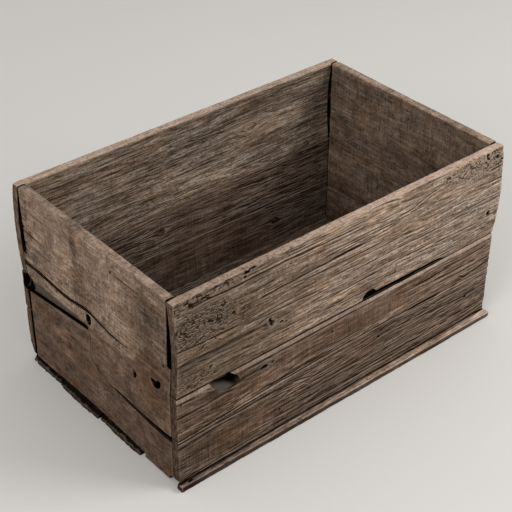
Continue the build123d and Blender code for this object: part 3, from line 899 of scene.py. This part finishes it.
def weatheredWood(look):
    if look["name"] in madeWoods:
        return madeWoods[look["name"]]
    material = emptyMaterial(look["name"])
    noise = woodPatterns()
    mark = SimpleNamespace(**{name: readMark(name) for name in markNames})
    lines, lips = grainLineShares(look, noise, mark)
    rings = ringShare(look, noise, mark)
    speckle = speckleShare(look, noise, mark)
    pockLevel = between(mark.pitted, look["pocksLeast"], look["pocksMost"])
    pockShare, pockHighlight = crumbled(noise.grain, pockLevel)
    rubbed = times(mark.wear, spread(noise.fine, 0.34, 0.52, 0.6, 1.0))
    edgeLight = times(speckle, calculate("SQRT", mark.shade))
    rusty = times(mark.rust, spread(noise.mottle, 0.35, 0.6, 0.05, 0.6))

    # the marks one over the other, from the grain to the rust
    colour = plainWood(look, noise, mark, rings, speckle)
    # painted highlights on the lips below the grain lines
    colour = blendColour(times(lips, look["lipGain"]), colour, look["bright"])
    colour = blendColour(times(lines, 0.85), colour, look["crack"])
    # painted highlight on raised places and on the lips below the checks
    colour = blendColour(times(mark.raised, 0.75), colour, look["bright"])
    colour = brighten(colour, mark.shade)
    colour = blendColour(rubbed, colour, brighten(look["edge"][:3], edgeLight))
    colour = blendColour(mark.bare, colour, look["bare"])
    # painted highlight on the lips below the pits, then the pits darkened with dirt and painted shade
    colour = blendColour(times(pockHighlight, 0.5), colour, look["bright"])
    colour = blendColour(pockShare, colour, look["dirt"])
    colour = blendColour(times(mark.endGrain, 0.9), colour, endGrain(look, noise, mark))
    # dirt with painted shade
    colour = blendColour(mark.dirt, colour, look["dirt"])
    # painted shadow in the joints, holes and gaps
    colour = blendColour(mark.deep, colour, look["deep"])
    colour = blendColour(rusty, colour, look["rust"])

    height = plus(times(noise.fine, 0.6), times(noise.hair, 0.35))
    height = minus(height, times(lines, 0.7))
    height = plus(height, times(noise.mottle, 1.2))
    height = minus(height, times(pockShare, 0.8))
    bump = addNode("Bump", {"Height": height, "Strength": 0.6, "Distance": 0.0008})
    dull = spread(rings, 0.38, 0.62, 0.95, 0.78)
    surface = {"Base Color": colour, "Roughness": dull, "Normal": bump.outputs[0]}
    addSurface({**surface, "Specular IOR Level": 0.005})
    madeWoods[look["name"]] = material
    return material


upperWood = {
    "name": "grey_weathered_wood",
    "dark": tone(64, 49, 38),
    "mid": tone(120, 101, 85),
    "pale": tone(150, 130, 112),
    # the palest grain, also the colour of the painted highlights
    "bright": tone(184, 165, 147),
    "greyDark": tone(72, 59, 48),
    "greyMid": tone(128, 111, 96),
    "greyPale": tone(184, 168, 151),
    "greyLeast": 0.2,
    "stain": tone(190, 176, 160),
    "crack": tone(44, 33, 25),
    "edge": tone(181, 156, 139),
    "endMid": tone(60, 47, 38),
    "endPale": tone(92, 76, 63),
    "bare": tone(81, 73, 67),
    # the colour of dirt with painted shade, then the colour of painted shadow
    "dirt": tone(34, 24, 17),
    "deep": tone(7, 5, 3),
    "cool": (0.95, 1.0, 1.07, 1.0),
    "warm": (1.06, 0.99, 0.93, 1.0),
    "rust": tone(140, 84, 44),
    "lineLow": 0.75,
    "lineHigh": 1.0,
    "lipGain": 0.5,
    "wideHere": (0.44, 0.56),
    "wideCore": (0.006, 0.024),
    "thinHere": (0.4, 0.56),
    "thinCore": (0.008, 0.026),
    "grainGain": (1.05, 1.05),
    "speckle": (1.7, 2.4),
    "ripple": (0.0, 0.0),
    "sawGain": (0.6, 0.6),
    "cloudGain": (0.6, 0.5),
    "pocksLeast": 0.26,
    "pocksMost": 0.465,
}
lowerWood = {
    **upperWood,
    "name": "brown_weathered_wood",
    "dark": tone(46, 34, 26),
    "mid": tone(92, 74, 61),
    "pale": tone(116, 97, 83),
    "bright": tone(150, 130, 114),
    "greyDark": tone(54, 42, 34),
    "greyMid": tone(100, 83, 71),
    "greyPale": tone(142, 124, 109),
    "lineLow": 0.15,
    "lineHigh": 1.2,
    "lipGain": 0.8,
    "wideHere": (0.34, 0.48),
    "wideCore": (0.01, 0.03),
    "thinHere": (0.38, 0.52),
    "thinCore": (0.01, 0.032),
    "edge": tone(170, 150, 135),
    "grainGain": (0.9, 2.1),
    "speckle": (1.3, 0.8),
    "sawGain": (1.5, 1.3),
    "pocksLeast": 0.22,
}
endWood = {
    **upperWood,
    "name": "end_board_wood",
    "dark": tone(60, 46, 38),
    "mid": tone(89, 71, 59),
    "pale": tone(102, 83, 70),
    "bright": tone(120, 101, 87),
    "greyDark": tone(70, 55, 43),
    "greyMid": tone(122, 103, 87),
    "greyPale": tone(174, 154, 136),
    "greyLeast": 0.85,
    "edge": tone(169, 145, 126),
    "lineLow": 0.1,
    "lineHigh": 0.3,
    "grainGain": (0.55, 0.4),
    "speckle": (1.4, 1.9),
    "ripple": (0.08, 0.38),
    "sawGain": (0.8, 1.1),
    "cloudGain": (2.3, 2.0),
    "pocksLeast": 0.2,
}
plankWood = {
    **lowerWood,
    "name": "plank_wood",
    "edge": tone(182, 164, 151),
    "cool": (0.9, 1.0, 1.12, 1.0),
    "sawGain": (0.3, 0.3),
}

# what a board has where its own dictionary says nothing else, with places in millimetres
plainBoard = {
    "voxel": 1.0,  # mm between points
    "edgeRounds": 2,  # rounds of smoothing that soften the edges
    "ridge": 0.42,  # mm, depth of the weathered grain
    "grit": 0.4,  # mm, depth of the rough surface
    "checking": 0.0,  # more of the grain opens above 0, less below
    "sawMarks": 0.3,
    "chips": 1.4,  # mm chipped from the edges
    "nailMouth": 2.8,  # mm, radius of the dent over a nail
    "ragged": (0.5, 0.5),  # mm torn from the low and the high end
    "lowerLoss": [(0, 0)],  # (along, mm worn from the lower edge)
    "upperLoss": [(0, 0)],
    "rot": 0.0,  # mm rotted from under the low end, with painted shadow on the wood that lies under the wall
    "grey": 0.0,  # greyer above 0, browner below
    "roughLine": None,  # (along, height): rough and grey wood above, smooth below
    "roughSoft": 10,  # mm over which that line fades
    "facets": [],  # bevels between a low and a high line: (along, low, high)
    "warmth": [(0, 0.5)],  # (along, share of the warm hue)
    "lip": [(0, 1.0)],  # (along, mm inside a joint that still show wood before the painted shadow)
    "holeLip": [(0, 1.0)],  # the same inside holes
    "blackSpots": [],  # (x, y, z, radius) of painted shadow in a gap
    "endTone": [(0, 1.0)],  # (across, brightness of the end grain)
    "rimTone": [(0, 1.0)],  # (along, brightness of the upper edge)
    "openEdge": 0,  # 1 or -1 where the high or the low edge meets no other board
    "ledge": [(0, 0)],  # (along, paleness under the upper edge)
    "ledgeHeight": 1.0,
    "seamTop": [(0, 0)],  # (along, mm of seam darkened with dirt and painted shade)
    "seamLow": [(0, 0)],
    "seamDark": [(0, 0.6)],  # (along, how black the seam's painted shadow is)
    "footLine": None,  # (along, across) behind which the wall's foot has painted shadow
    "scoops": [],  # (along, across, half length, half height) of a bare hollow with painted shadow in it
    "pushes": [],  # (along, across, reach, mm moved along)
    "lowEdgeShade": 0.0,  # painted shade on the low edge
    "smoothPatches": [],
    "rustSpots": [],
    "covered": 0,  # mm from the middle past which the back lies on the end boards, painted dark there as shadow
    # ends painted dark as shadow, except a thin strip by the outer face
    "darkEnds": False,
    "wear": (0.25, 0.15, 0.5),  # paleness of upper edges, lower edges and ends
    "bleach": [(0, 0.0)],  # (along, paleness of the rim)
    "rust": 0.5,  # rust round the nails
    "tones": [(0, 1.0)],  # (along, brightness; on the front boards partly painted light, on the inner and rear planks painted shade)
    "tints": [],  # (along, across, half length, half height, brightness)
    "knots": [],  # (along, across, radius)
    "checks": [],  # (width, depth, [(along, across)])
    "pits": [],  # (along, across, half length, half height, depth)
    "granular": [],  # (along, across, half length, half height)
    "lined": [],  # (along, across, half length, half height, how clear the grain lines are)
    "linedLeast": 0.0,
    "holes": [],  # (along, across, half length, half height, depth), painted dark inside as shadow
}
sideBoard = {
    **plainBoard,
    "slot": "side_wood",
    "covered": 285,
}

frontBoard = {
    **sideBoard,
    "nailMouth": 1.4,
    "rust": 0.0,
    "ragged": (0.5, 1.6),
}
frontUpper = {
    **frontBoard,
    "look": upperWood,
    "grainSeed": 3,
    "ridge": 0.5,
    "voxel": 1.06,
    "grit": 0.7,
    "checking": 0.1,
    "openEdge": 1,
    "endTone": [(150, 0.95), (225, 1.05), (270, 1.45)],
    "bleach": [(0, 1.0)],
    "wear": (1.0, 0.2, 0.6),
    "lowerLoss": [(-300, 0.8), (20, 0.8), (30, 0), (196, 0), (204, 0.8)],
    "seamLow": [(-300, 1.7), (20, 1.6), (28, 0), (50, 0), (60, 1.1), (190, 0.9), (206, 0.9)],
    "seamDark": [(-300, 0.55), (20, 0.55), (40, 1.0), (190, 1.0), (206, 0.3)],
    # brighter to the right: partly the wood's tone, partly painted light falling off to the left
    "tones": [(-300, 0.57), (-150, 0.7), (-20, 1.15), (120, 1.25), (300, 1.28)],
    "warmth": [(-300, 0.8), (-100, 0.65), (100, 0.45), (300, 0.2)],
    "tints": [
        (-270, 255, 50, 34, 0.88), (-286, 254, 22, 12, 0.78), (-226, 263, 28, 10, 0.78),
        (110, 188, 60, 24, 1.05), (-230, 211, 80, 8, 0.8), (250, 288, 70, 16, 0.95),
        (-50, 298, 230, 9, 1.4), (65, 282, 70, 20, 1.3), (-60, 246, 90, 10, 0.78),
        (-215, 202, 44, 13, 0.72), (-285, 200, 24, 14, 0.7), (-95, 200, 44, 16, 1.3),
        (-90, 170, 100, 12, 1.3), (50, 182, 60, 24, 0.75), (92, 221, 46, 10, 1.35),
        (240, 222, 56, 11, 0.76),
    ],
    "knots": [(-146, 209, 9), (40, 150, 12)],
    "checks": [
        (1.1, 1.9, [(-279, 291.5), (-200, 290.5), (-120, 291.5), (-88, 290), (14, 288.5)]),
        (1.2, 2.0, [(-165, 255.5), (-128, 256.8), (-60, 258.5), (20, 259)]),
        (1.0, 1.6, [(-38, 240.5), (30, 240.5)]),
        (1.0, 1.5, [(-36, 232), (12, 231)]),
        (1.1, 1.8, [(-310, 236), (-258, 233), (-225, 231.8), (-200, 231)]),
        (1.0, 1.7, [(-190, 226), (-150, 223.5), (-100, 222.5), (-66, 220)]),
        (2.6, 1.3, [(-310, 211), (-240, 211), (-158, 209.5)]),
        (0.9, 1.5, [(86, 274), (116, 277), (130, 281), (150, 286), (168, 286.6)]),
        (0.9, 1.5, [(50, 282), (116, 282)]),
        (1.0, 1.7, [(164, 245), (222, 245)]),
        (1.0, 1.6, [(16, 223), (100, 223), (190, 220)]),
        (1.1, 2.0, [(250, 223), (310, 222)]),
        (1.0, 1.6, [(16, 206), (88, 206)]),
        (1.2, 1.8, [(74, 201), (160, 200)]),
        (1.0, 1.6, [(166, 195), (250, 193)]),
        (1.2, 2.2, [(272, 275), (310, 275)]),
        (1.2, 2.2, [(268, 256), (310, 255)]),
        (1.1, 2.0, [(270, 196), (310, 195)]),
    ],
    "pits": [
        (-284, 255, 30, 20, 3.2), (-236, 266, 34, 13, 3.8), (-210, 254, 28, 13, 3.2),
        (-190, 246, 24, 12, 1.4), (-252, 297.5, 62, 9, 2.9), (-196, 303, 24, 5, 2.2),
        (-268, 172, 24, 12, 1.4), (-112, 286, 14, 3, 2.0), (268, 294, 50, 11, 3.0),
        (214, 294, 46, 8, 2.6), (292, 270, 20, 12, 1.8),
    ],
    "granular": [(-258, 254, 84, 44), (-265, 178, 44, 22), (252, 292, 110, 26)],
    "holes": [
        (-148.5, 213, 2.3, 3.6, 8), (-144.5, 206, 2.8, 4.4, 9), (-129, 200, 3, 1.6, 4),
        (-121, 196, 3, 1.4, 4), (-246, 186, 2, 2, 4), (276, 201, 3.4, 3.6, 6), (142, 263, 1.8, 1.2, 3),
        (-184, 302, 4.6, 1.9, 3), (-174, 305, 5, 1.4, 2.5), (-187, 297, 1.8, 1.6, 2.5),
    ],
}
frontMiddle = {
    **frontBoard,
    "look": lowerWood,
    "grainSeed": 4,
    "voxel": 0.85,
    "grit": 0.2,
    "grey": 0.45,
    "checking": 0.08,
    "sawMarks": 0.8,
    "lip": [(0, 0.3)],
    "warmth": [(-300, 0.75), (0, 0.75), (300, 0.2)],
    "smoothPatches": [(50, 122, 100, 26)],
    "linedLeast": -0.8,
    "lined": [(225, 122, 120, 38, 0.7), (-60, 97, 300, 11, 0.2)],
    "ledge": [(-300, 0.75), (-180, 0.6), (20, 0.6), (45, 0.9), (300, 0.95)],
    "ledgeHeight": 7.0,
    "seamTop": [(-300, 1.1), (20, 1.1), (40, 1.5), (170, 1.5), (190, 0.8), (205, 0.8), (300, 0.6)],
    "seamDark": [(-300, 0.4), (20, 0.4), (40, 1.0), (190, 1.0), (206, 0.3)],
    "scoops": [(-222, 141, 44, 34)],
    "pushes": [(-202, 143, 10, 4.5)],
    "wear": (0.9, 0.1, 0.5),
    # brighter to the right: partly the wood's tone, partly painted light falling off to the left
    "tones": [(-300, 0.83), (0, 0.99), (200, 1.22), (300, 1.3)],
    "knots": [(-223, 156, 24), (-153, 133, 5)],
    "checks": [
        (1.5, 1.6, [(-310, 145), (-280, 145), (-268, 143)]),
        (1.3, 1.5, [(148, 145), (200, 145.5), (216, 144)]),
        (1.2, 2.2, [(-180, 144), (-90, 144.5), (-24, 145), (14, 146)]),
        (2.0, 1.6, [(-214, 129.5), (-186, 131)]),
        (1.5, 1.9, [(-310, 123), (-260, 122.5), (-220, 124), (-200, 123)]),
        (1.4, 1.5, [(-190, 133), (-156, 133)]),
        (1.7, 2.8, [(134, 129.5), (168, 130.5), (206, 131)]),
        (1.2, 2.0, [(196, 133), (246, 134), (290, 135)]),
        (2.0, 1.8, [(176, 121), (220, 119), (270, 119)]),
        (1.2, 1.6, [(170, 112), (230, 110), (300, 112)]),
        (1.4, 2.4, [(232, 103), (242, 97), (264, 99), (292, 102), (310, 103)]),
        (1.0, 1.4, [(-60, 104), (20, 106)]),
    ],
    "pits": [(-150, 126, 9, 4, 0.8)],
    "holes": [
        (-153, 133, 5.6, 2.6, 7), (-138, 134, 2.4, 1.6, 5), (-130, 123, 1.4, 1.6, 3),
        (-29, 129.5, 1.8, 1.8, 5),
    ],
    "tints": [
        # the first darkens a patch at the knot hollow's lower left: painted shade
        (-240, 134, 26, 7, 0.5), (-272, 101, 40, 13, 1.35), (-150, 131, 90, 7, 0.75),
        (-140, 117, 90, 8, 1.3), (-90, 107, 36, 9, 1.25), (80, 135, 70, 14, 1.2), (256, 95, 40, 9, 0.72),
    ],
}
frontLower = {
    **frontBoard,
    "look": lowerWood,
    "grainSeed": 5,
    "voxel": 0.9,
    "grit": 0.2,
    "checking": 0.1,
    "sawMarks": 0.8,
    "grey": 0.9,
    "warmth": [(-300, 0.6), (0, 0.5), (300, 0.15)],
    "upperLoss": [(-300, 1.4), (-100, 1.0), (0, 0.6), (120, 0.8), (135, 1.6), (180, 1.6), (200, 0.8)],
    "lowerLoss": [(0, 2.2)],
    "lip": [(0, 0.4)],
    "ledge": [(-300, 0.9), (-120, 0.85), (60, 0.6), (300, 0.55)],
    "ledgeHeight": 2.6,
    "seamDark": [(-300, 0.2), (110, 0.25), (130, 0.5), (180, 0.5), (200, 0.2)],
    "seamTop": [(-300, 0.8), (-270, 1.5), (-205, 1.5), (-190, 0.3), (-120, 0.4), (-105, 0.8), (60, 0.9),
                (110, 0.8), (128, 1.5), (180, 1.5), (195, 0.8), (225, 0.8), (235, 0.3)],
    "seamLow": [(0, 0.8)],
    "wear": (0.35, 0.1, 0.5),
    # brighter to the right: partly the wood's tone, partly painted light falling off to the left
    "tones": [(-300, 0.78), (0, 0.85), (300, 1.02)],
    "smoothPatches": [(-210, 44, 130, 32)],
    "tints": [
        (-264, 60, 42, 32, 0.7), (-172, 36, 50, 24, 1.4), (-96, 63, 36, 18, 1.35),
        (-50, 40, 50, 24, 0.78), (30, 63, 46, 14, 1.25), (254, 66, 42, 18, 0.7), (200, 34, 70, 9, 1.35),
    ],
    "linedLeast": -0.2,
    "lined": [(110, 46, 260, 60, 1.0), (-210, 78, 130, 16, -0.5)],
    "checks": [
        (1.3, 2.2, [(-310, 78.5), (-240, 79.5), (-190, 78.5), (-140, 79.5)]),
        (1.2, 2.0, [(-310, 69.5), (-270, 71), (-235, 74), (-205, 73.5)]),
        (1.0, 1.7, [(84, 83.5), (100, 82), (130, 80.5)]),
        (1.1, 1.8, [(205, 77), (236, 75.5), (262, 75)]),
        (1.1, 2.0, [(-94, 57), (-40, 57.5), (20, 57)]),
        (1.1, 1.8, [(-94, 50), (-20, 50), (30, 48)]),
        (1.0, 1.7, [(-132, 77), (-90, 76), (-60, 68)]),
        (1.1, 2.0, [(64, 73.5), (90, 73), (128, 72), (170, 71)]),
        (1.2, 2.0, [(166, 64), (222, 60), (251, 57)]),
        (1.0, 2.0, [(252, 60), (310, 60.5)]),
        (1.2, 2.2, [(22, 29.5), (62, 29), (106, 27.5), (126, 29), (145, 27),
                    (187, 30.5), (205, 27), (222, 31.5), (310, 29)]),
        (1.4, 2.1, [(-110, 22), (-34, 23.5), (44, 22.5), (104, 23)]),
    ],
    "holes": [(64, 73.5, 2.6, 2, 5), (251, 57, 2.8, 2.4, 6), (-125, 41, 1.8, 2.2, 5)],
}

sprungCorner = (-302, 170, 143, 18)  # painted shadow in the gap where the rear middle board has sprung off the left end

rearBoard = {
    **sideBoard,
    "endTone": [(0, 1.6)],
}
rearUpper = {
    **rearBoard,
    "look": upperWood,
    "grainSeed": 6,
    "ridge": 0.5,
    "checking": 0.12,
    "voxel": 1.06,
    "openEdge": 1,
    "bleach": [(0, 0.9)],
    "wear": (1.0, 0.2, 0.6),
    "knots": [(120, 246, 10), (-190, 205, 7)],
    "tints": [(120, 246, 16, 9, 0.45), (-190, 205, 11, 6, 0.5)],
    "pits": [(-255, 280, 30, 12, 1.2), (210, 210, 24, 10, 1.0)],
}
rearMiddle = {
    **rearBoard,
    "look": lowerWood,
    "grainSeed": 7,
    "blackSpots": [sprungCorner],
    "knots": [(-60, 128, 8)],
}
rearLower = {
    **rearBoard,
    "look": lowerWood,
    "grainSeed": 8,
    "grey": -0.2,
    "knots": [(170, 52, 9)],
}

endBoard = {
    **plainBoard,
    "slot": "end_wood",
    "look": endWood,
    "darkEnds": True,
}
leftBoard = {
    **endBoard,
    "voxel": 0.85,
    "edgeRounds": 1,
    "lip": [(-168, 2.5), (-85, 2.5), (-50, 0.3), (168, 0.3)],
    "holeLip": [(0, -1.0)],
    "seamDark": [(0, 0.95)],
    "warmth": [(0, 0.25)],
    "grainSeed": 9,
    "nailMouth": 1.4,
    "rust": 0.0,
    "chips": 0.4,
    "wear": (0.0, 0.0, 0.15),
    "roughLine": [(-170, 206), (-112, 200), (-86, 160), (-40, 158), (20, 160), (60, 158), (170, 150)],
    "knots": [(88, 263, 9), (13, 169, 10), (-138, 156, 11)],
}
leftUpper = {
    **leftBoard,
    "openEdge": 1,
    "grit": 0.6,
    "bleach": [(-168, 0.7), (168, 0.25)],
    "blackSpots": [(-297, -169, 203, 5)],
    "wear": (0.6, 0.0, 0.2),
    "lowerLoss": [(-60, 0), (-42, 1.2), (20, 2.2), (100, 2.4), (168, 2.6)],
    "seamLow": [(-80, 0), (-60, 0.6), (-40, 1.7), (20, 2.9), (168, 2.9)],
    "tones": [(-168, 0.86), (-80, 1.18), (60, 1.36), (168, 1.32)],
    "rimTone": [(-168, 0.92), (168, 0.78)],
    "tints": [
        (35, 274, 11, 44, 0.56), (30, 225, 20, 40, 0.76), (-118, 250, 24, 64, 0.72),
        (-62, 215, 34, 46, 1.32), (72, 235, 36, 54, 1.2), (2, 245, 22, 64, 0.92),
        (-20, 294, 160, 14, 1.25), (-44, 256, 30, 36, 1.3), (30, 206, 26, 32, 0.75),
        (-138, 266, 20, 26, 0.7), (140, 198, 38, 18, 0.74),
    ],
    "checks": [
        (0.9, 1.2, [(-166, 282), (-132, 283)]),
        (0.9, 1.2, [(-100, 282), (-56, 282)]),
        (1.0, 1.6, [(-130, 258), (-106, 259)]),
        (0.9, 1.0, [(60, 274), (166, 275)]),
    ],
    "pits": [(158, 214, 9, 16, 1.3), (120, 225, 3, 4, 1.5), (100, 189, 14, 4, 1.2), (60, 196, 20, 5, 0.8)],
    "holes": [
        (-50, 283, 1.8, 2.4, 4), (-157, 197, 2.4, 2, 6), (152, 290, 1.6, 1.2, 3), (164, 244, 2, 2.4, 4),
    ],
}
leftMiddle = {
    **leftBoard,
    "ridge": 0.35,
    "checking": -0.1,
    "roughSoft": 3,
    "holeLip": [(-168, -1.0), (22, -1.0), (30, 0.2), (80, 0.2), (100, 1.8), (150, 2.2)],
    "blackSpots": [sprungCorner],
    "seamTop": [(-80, 0), (-60, 0.3), (-40, 1.1), (168, 1.9)],
    "seamLow": [(-166, 1.8), (-60, 1.5), (-40, 0.8), (-30, 0)],
    "tones": [(0, 1.25)],
    "tints": [
        (65, 166, 60, 10, 1.2), (140, 165, 38, 14, 0.72), (-30, 138, 56, 18, 1.28),
        (-100, 92, 56, 18, 0.8),
    ],
    "facets": [{"lines": [(22, 156, 157), (60, 151, 157.5), (130, 142, 157), (156, 138, 155)], "depth": 2.6}],
    "checks": [(0.8, 1.4, [(85, 140.5), (130, 135.5), (164, 131)])],
    "holes": [(-91, 141.5, 3.8, 5.0, 8)],
}
leftLower = {
    **leftBoard,
    "lip": [(0, 0.3)],
    "ridge": 0.35,
    "checking": -0.1,
    "lowerLoss": [(-170, 2.5), (-140, 1.5), (-105, 0.5), (-90, 0.5), (100, 1.0)],
    "upperLoss": [(-168, 0.3), (-104, 1.8), (-60, 2.0), (-40, 1.2), (-20, 0.5), (0, 0)],
    "seamTop": [(-166, 1.5), (-60, 1.3), (-40, 0.6), (-25, 0)],
    "tones": [(-168, 1.0), (60, 1.17), (168, 1.18)],
    "tints": [(85, 102, 36, 22, 1.35), (-15, 44, 32, 30, 1.3), (-150, 70, 18, 28, 0.74)],
    "rustSpots": [(-160, 15, 6, 7)],
}
rightUpper = {
    **endBoard,
    "grainSeed": 10,
    "openEdge": 1,
    "bleach": [(0, 0.75)],
    "wear": (0.9, 0.1, 0.3),
    "grey": 0.6,
    "knots": [(-70, 240, 9)],
    "pits": [(110, 280, 24, 10, 1.0)],
}
rightMiddle = {
    **endBoard,
    "grainSeed": 11,
    "grey": 0.2,
    "knots": [(60, 130, 8)],
}
rightLower = {
    **endBoard,
    "grainSeed": 12,
}

plankBoard = {
    **plainBoard,
    "slot": "plank_wood",
    "look": plankWood,
    "ridge": 0.4,
    "chips": 2.2,
    "ragged": (4.0, 1.6),
    "rot": 4.5,
    "wear": (0.3, 0.2, 0.1),
    "endTone": [(0, 0.5)],
    # darker towards the left ends: painted shade under the left wall
    "tones": [(-309, 0.3), (-298, 0.4), (-286, 1.0)],
}
frontPlank = {
    **plankBoard,
    "ragged": (1.5, 1.2),
    "rot": 0.0,
    "openEdge": -1,
    "lowEdgeShade": 0.68,
    "warmth": [(0, 0.05)],
    "wear": (0.8, 0.8, 0.6),
    "footLine": [(-300, -183.6), (-185, -183.4), (-165, -182.4), (300, -182.2)],
    "tones": [(-300, 0.85), (-20, 1.0), (20, 1.45), (300, 1.6)],
    "tints": [(0, -190, 520, 14, 2.0)],
    "pits": [(-250, -189, 60, 6, 1.0), (-120, -189, 70, 6, 0.7), (90, -189, 120, 5, 0.7)],
    "holes": [(-226, -190.5, 3.6, 1.6, 3), (-216, -191.5, 2.4, 1.2, 2), (-284, -185.5, 5, 1.4, 2)],
}
rearPlank = {
    **plankBoard,
    "openEdge": 1,
}

# every wall from its upper board down, then the planks from the front
wallBoards = {
    "front_side": (frontUpper, frontMiddle, frontLower),
    "rear_side": (rearUpper, rearMiddle, rearLower),
    "left_end": (leftUpper, leftMiddle, leftLower),
    "right_end": (rightUpper, rightMiddle, rightLower),
}
planks = (frontPlank, plankBoard, plankBoard, rearPlank)
seedStep = 100
seed = 0
for wall, boards in wallBoards.items():
    side = wall.split("_")[0]
    for height, board in zip(("upper", "middle", "lower"), boards):
        seed = seed + seedStep
        names = {"piece": f"{side}_{height}_wood", "node": f"{wall}_{height}_board"}
        dressBoard({**board, **names, "wall": wall, "seed": seed})
for number, board in enumerate(planks, 1):
    seed = seed + seedStep
    names = {"piece": f"plank_{number}_wood", "node": f"bottom_plank_{number}"}
    dressBoard({**board, **names, "wall": "bottom", "seed": seed, "grainSeed": 12 + number})


# rusty cut nails keep their solids
iron = {
    "flakes": (900.0, 6.0, 0.65),  # scale, detail and roughness of the noise
    "crusts": (260.0, 4.0, 0.6),
    "tones": [(0.32, tone(38, 26, 20)), (0.5, tone(74, 46, 30)), (0.66, tone(112, 66, 38))],
    "crustTone": tone(30, 24, 21),
    "metallic": 0.35,
}


def rustyIron():
    material = emptyMaterial("rusty_iron")
    place = addNode("TexCoord", {}).outputs["Object"]
    flakes = placeNoise(place, *iron["flakes"])
    crusts = spread(placeNoise(place, *iron["crusts"]), 0.45, 0.62, 0.0, 0.7)
    colour = blendColour(crusts, toneRamp(flakes, iron["tones"]), iron["crustTone"])
    bump = addNode("Bump", {"Height": flakes, "Strength": 0.6, "Distance": 0.0004})
    dull = spread(flakes, 0.3, 0.7, 0.65, 0.95)
    surface = {"Base Color": colour, "Roughness": dull, "Normal": bump.outputs[0]}
    addSurface({**surface, "Metallic": iron["metallic"]})
    return material


nailIron = rustyIron()
for node in nailNodes.values():
    node.data.materials.clear()
    node.data.materials.append(nailIron)
print("nails rusted")


# floor, light and camera
studio = {
    "floorReach": 30.0,  # m
    "floorTone": tone(222, 219, 214),
    "cloudTone": tone(200, 197, 192),
    "cloudNoise": (2.0, 4.0, 0.5),  # scale, detail and roughness
    "skyTone": tone(236, 234, 231),
    "skyStrength": 0.55,
    "lampTarget": (0.0, 0.0, 0.15),
}
lamps = {
    "key": {"place": (1.5, -1.65, 1.8), "size": 1.4, "power": 36.0},
    "fill": {"place": (-2.6, -0.9, 1.9), "size": 1.6, "power": 34.0},
}


def paleFloor():
    reach = studio["floorReach"]
    corners = [(-reach, -reach, 0), (reach, -reach, 0), (reach, reach, 0), (-reach, reach, 0)]
    mesh = bpy.data.meshes.new("floor")
    mesh.from_pydata(corners, [], [(0, 1, 2, 3)])
    floor = bpy.data.objects.new("floor", mesh)
    scene.collection.objects.link(floor)
    mesh.materials.append(emptyMaterial("pale_floor"))
    place = addNode("TexCoord", {}).outputs["Object"]
    cloud = spread(placeNoise(place, *studio["cloudNoise"]), 0.3, 0.7, 0.0, 0.06)
    colour = blendColour(cloud, studio["floorTone"], studio["cloudTone"])
    addSurface({"Base Color": colour, "Roughness": 0.85, "Specular IOR Level": 0.2})


def softLamp(name, place, size, power):
    lamp = bpy.data.lights.new(name, "AREA")
    lamp.shape = "SQUARE"
    lamp.size = size
    lamp.energy = power
    holder = bpy.data.objects.new(name, lamp)
    scene.collection.objects.link(holder)
    aim = Vector(place) - Vector(studio["lampTarget"])
    holder.location = place
    holder.rotation_euler = aim.to_track_quat("Z", "Y").to_euler()


# white light from all round, while the camera sees the sky's own pale tone
def paleSky():
    world = bpy.data.worlds.new("studio")
    scene.world = world
    world.use_nodes = True
    startTree(world.node_tree)
    light = addNode("Background", {"Color": (1.0, 1.0, 1.0, 1.0), "Strength": studio["skyStrength"]})
    shown = addNode("Background", {"Color": studio["skyTone"], "Strength": 1.0})
    ray = addNode("LightPath", {})
    seen = larger(ray.outputs["Is Camera Ray"], ray.outputs["Is Glossy Ray"])
    seen = larger(seen, ray.outputs["Is Transmission Ray"])
    both = addNode("MixShader", {0: seen, 1: light.outputs[0], 2: shown.outputs[0]})
    addNode("OutputWorld", {"Surface": both.outputs[0]})


view = {
    "azimuth": -40.29,  # degrees
    "elevation": 35.01,
    "roll": 0.22,
    "target": (-0.0145, -0.0001, 0.1531),  # m
    "distance": 1.8872,
    "farthest": 100.0,
    "sensor": 36.0,  # mm
    "focalPixels": 1285.29,
    "framePixels": 512,
}


def photoCamera():
    turn, rise, roll = [math.radians(view[key]) for key in ("azimuth", "elevation", "roll")]
    back = np.array([math.sin(turn) * math.cos(rise), -math.cos(turn) * math.cos(rise), math.sin(rise)])
    right = np.cross([0.0, 0.0, 1.0], back)
    right = right / np.linalg.norm(right)
    up = np.cross(back, right)
    across = math.cos(roll) * right + math.sin(roll) * up
    upright = math.cos(roll) * up - math.sin(roll) * right
    place = np.array(view["target"]) + back * view["distance"]
    camera = bpy.data.cameras.new("camera")
    camera.sensor_width = view["sensor"]
    camera.lens = view["sensor"] * view["focalPixels"] / view["framePixels"]
    camera.clip_end = view["farthest"]
    holder = bpy.data.objects.new("camera", camera)
    scene.collection.objects.link(holder)
    rows = [[across[i], upright[i], back[i], place[i]] for i in range(3)] + [[0, 0, 0, 1]]
    holder.matrix_world = Matrix(rows)
    scene.camera = holder


paleFloor()
paleSky()
for name, lamp in lamps.items():
    softLamp(name, **lamp)
photoCamera()
scene.view_settings.view_transform = "Standard"
print("studio set")
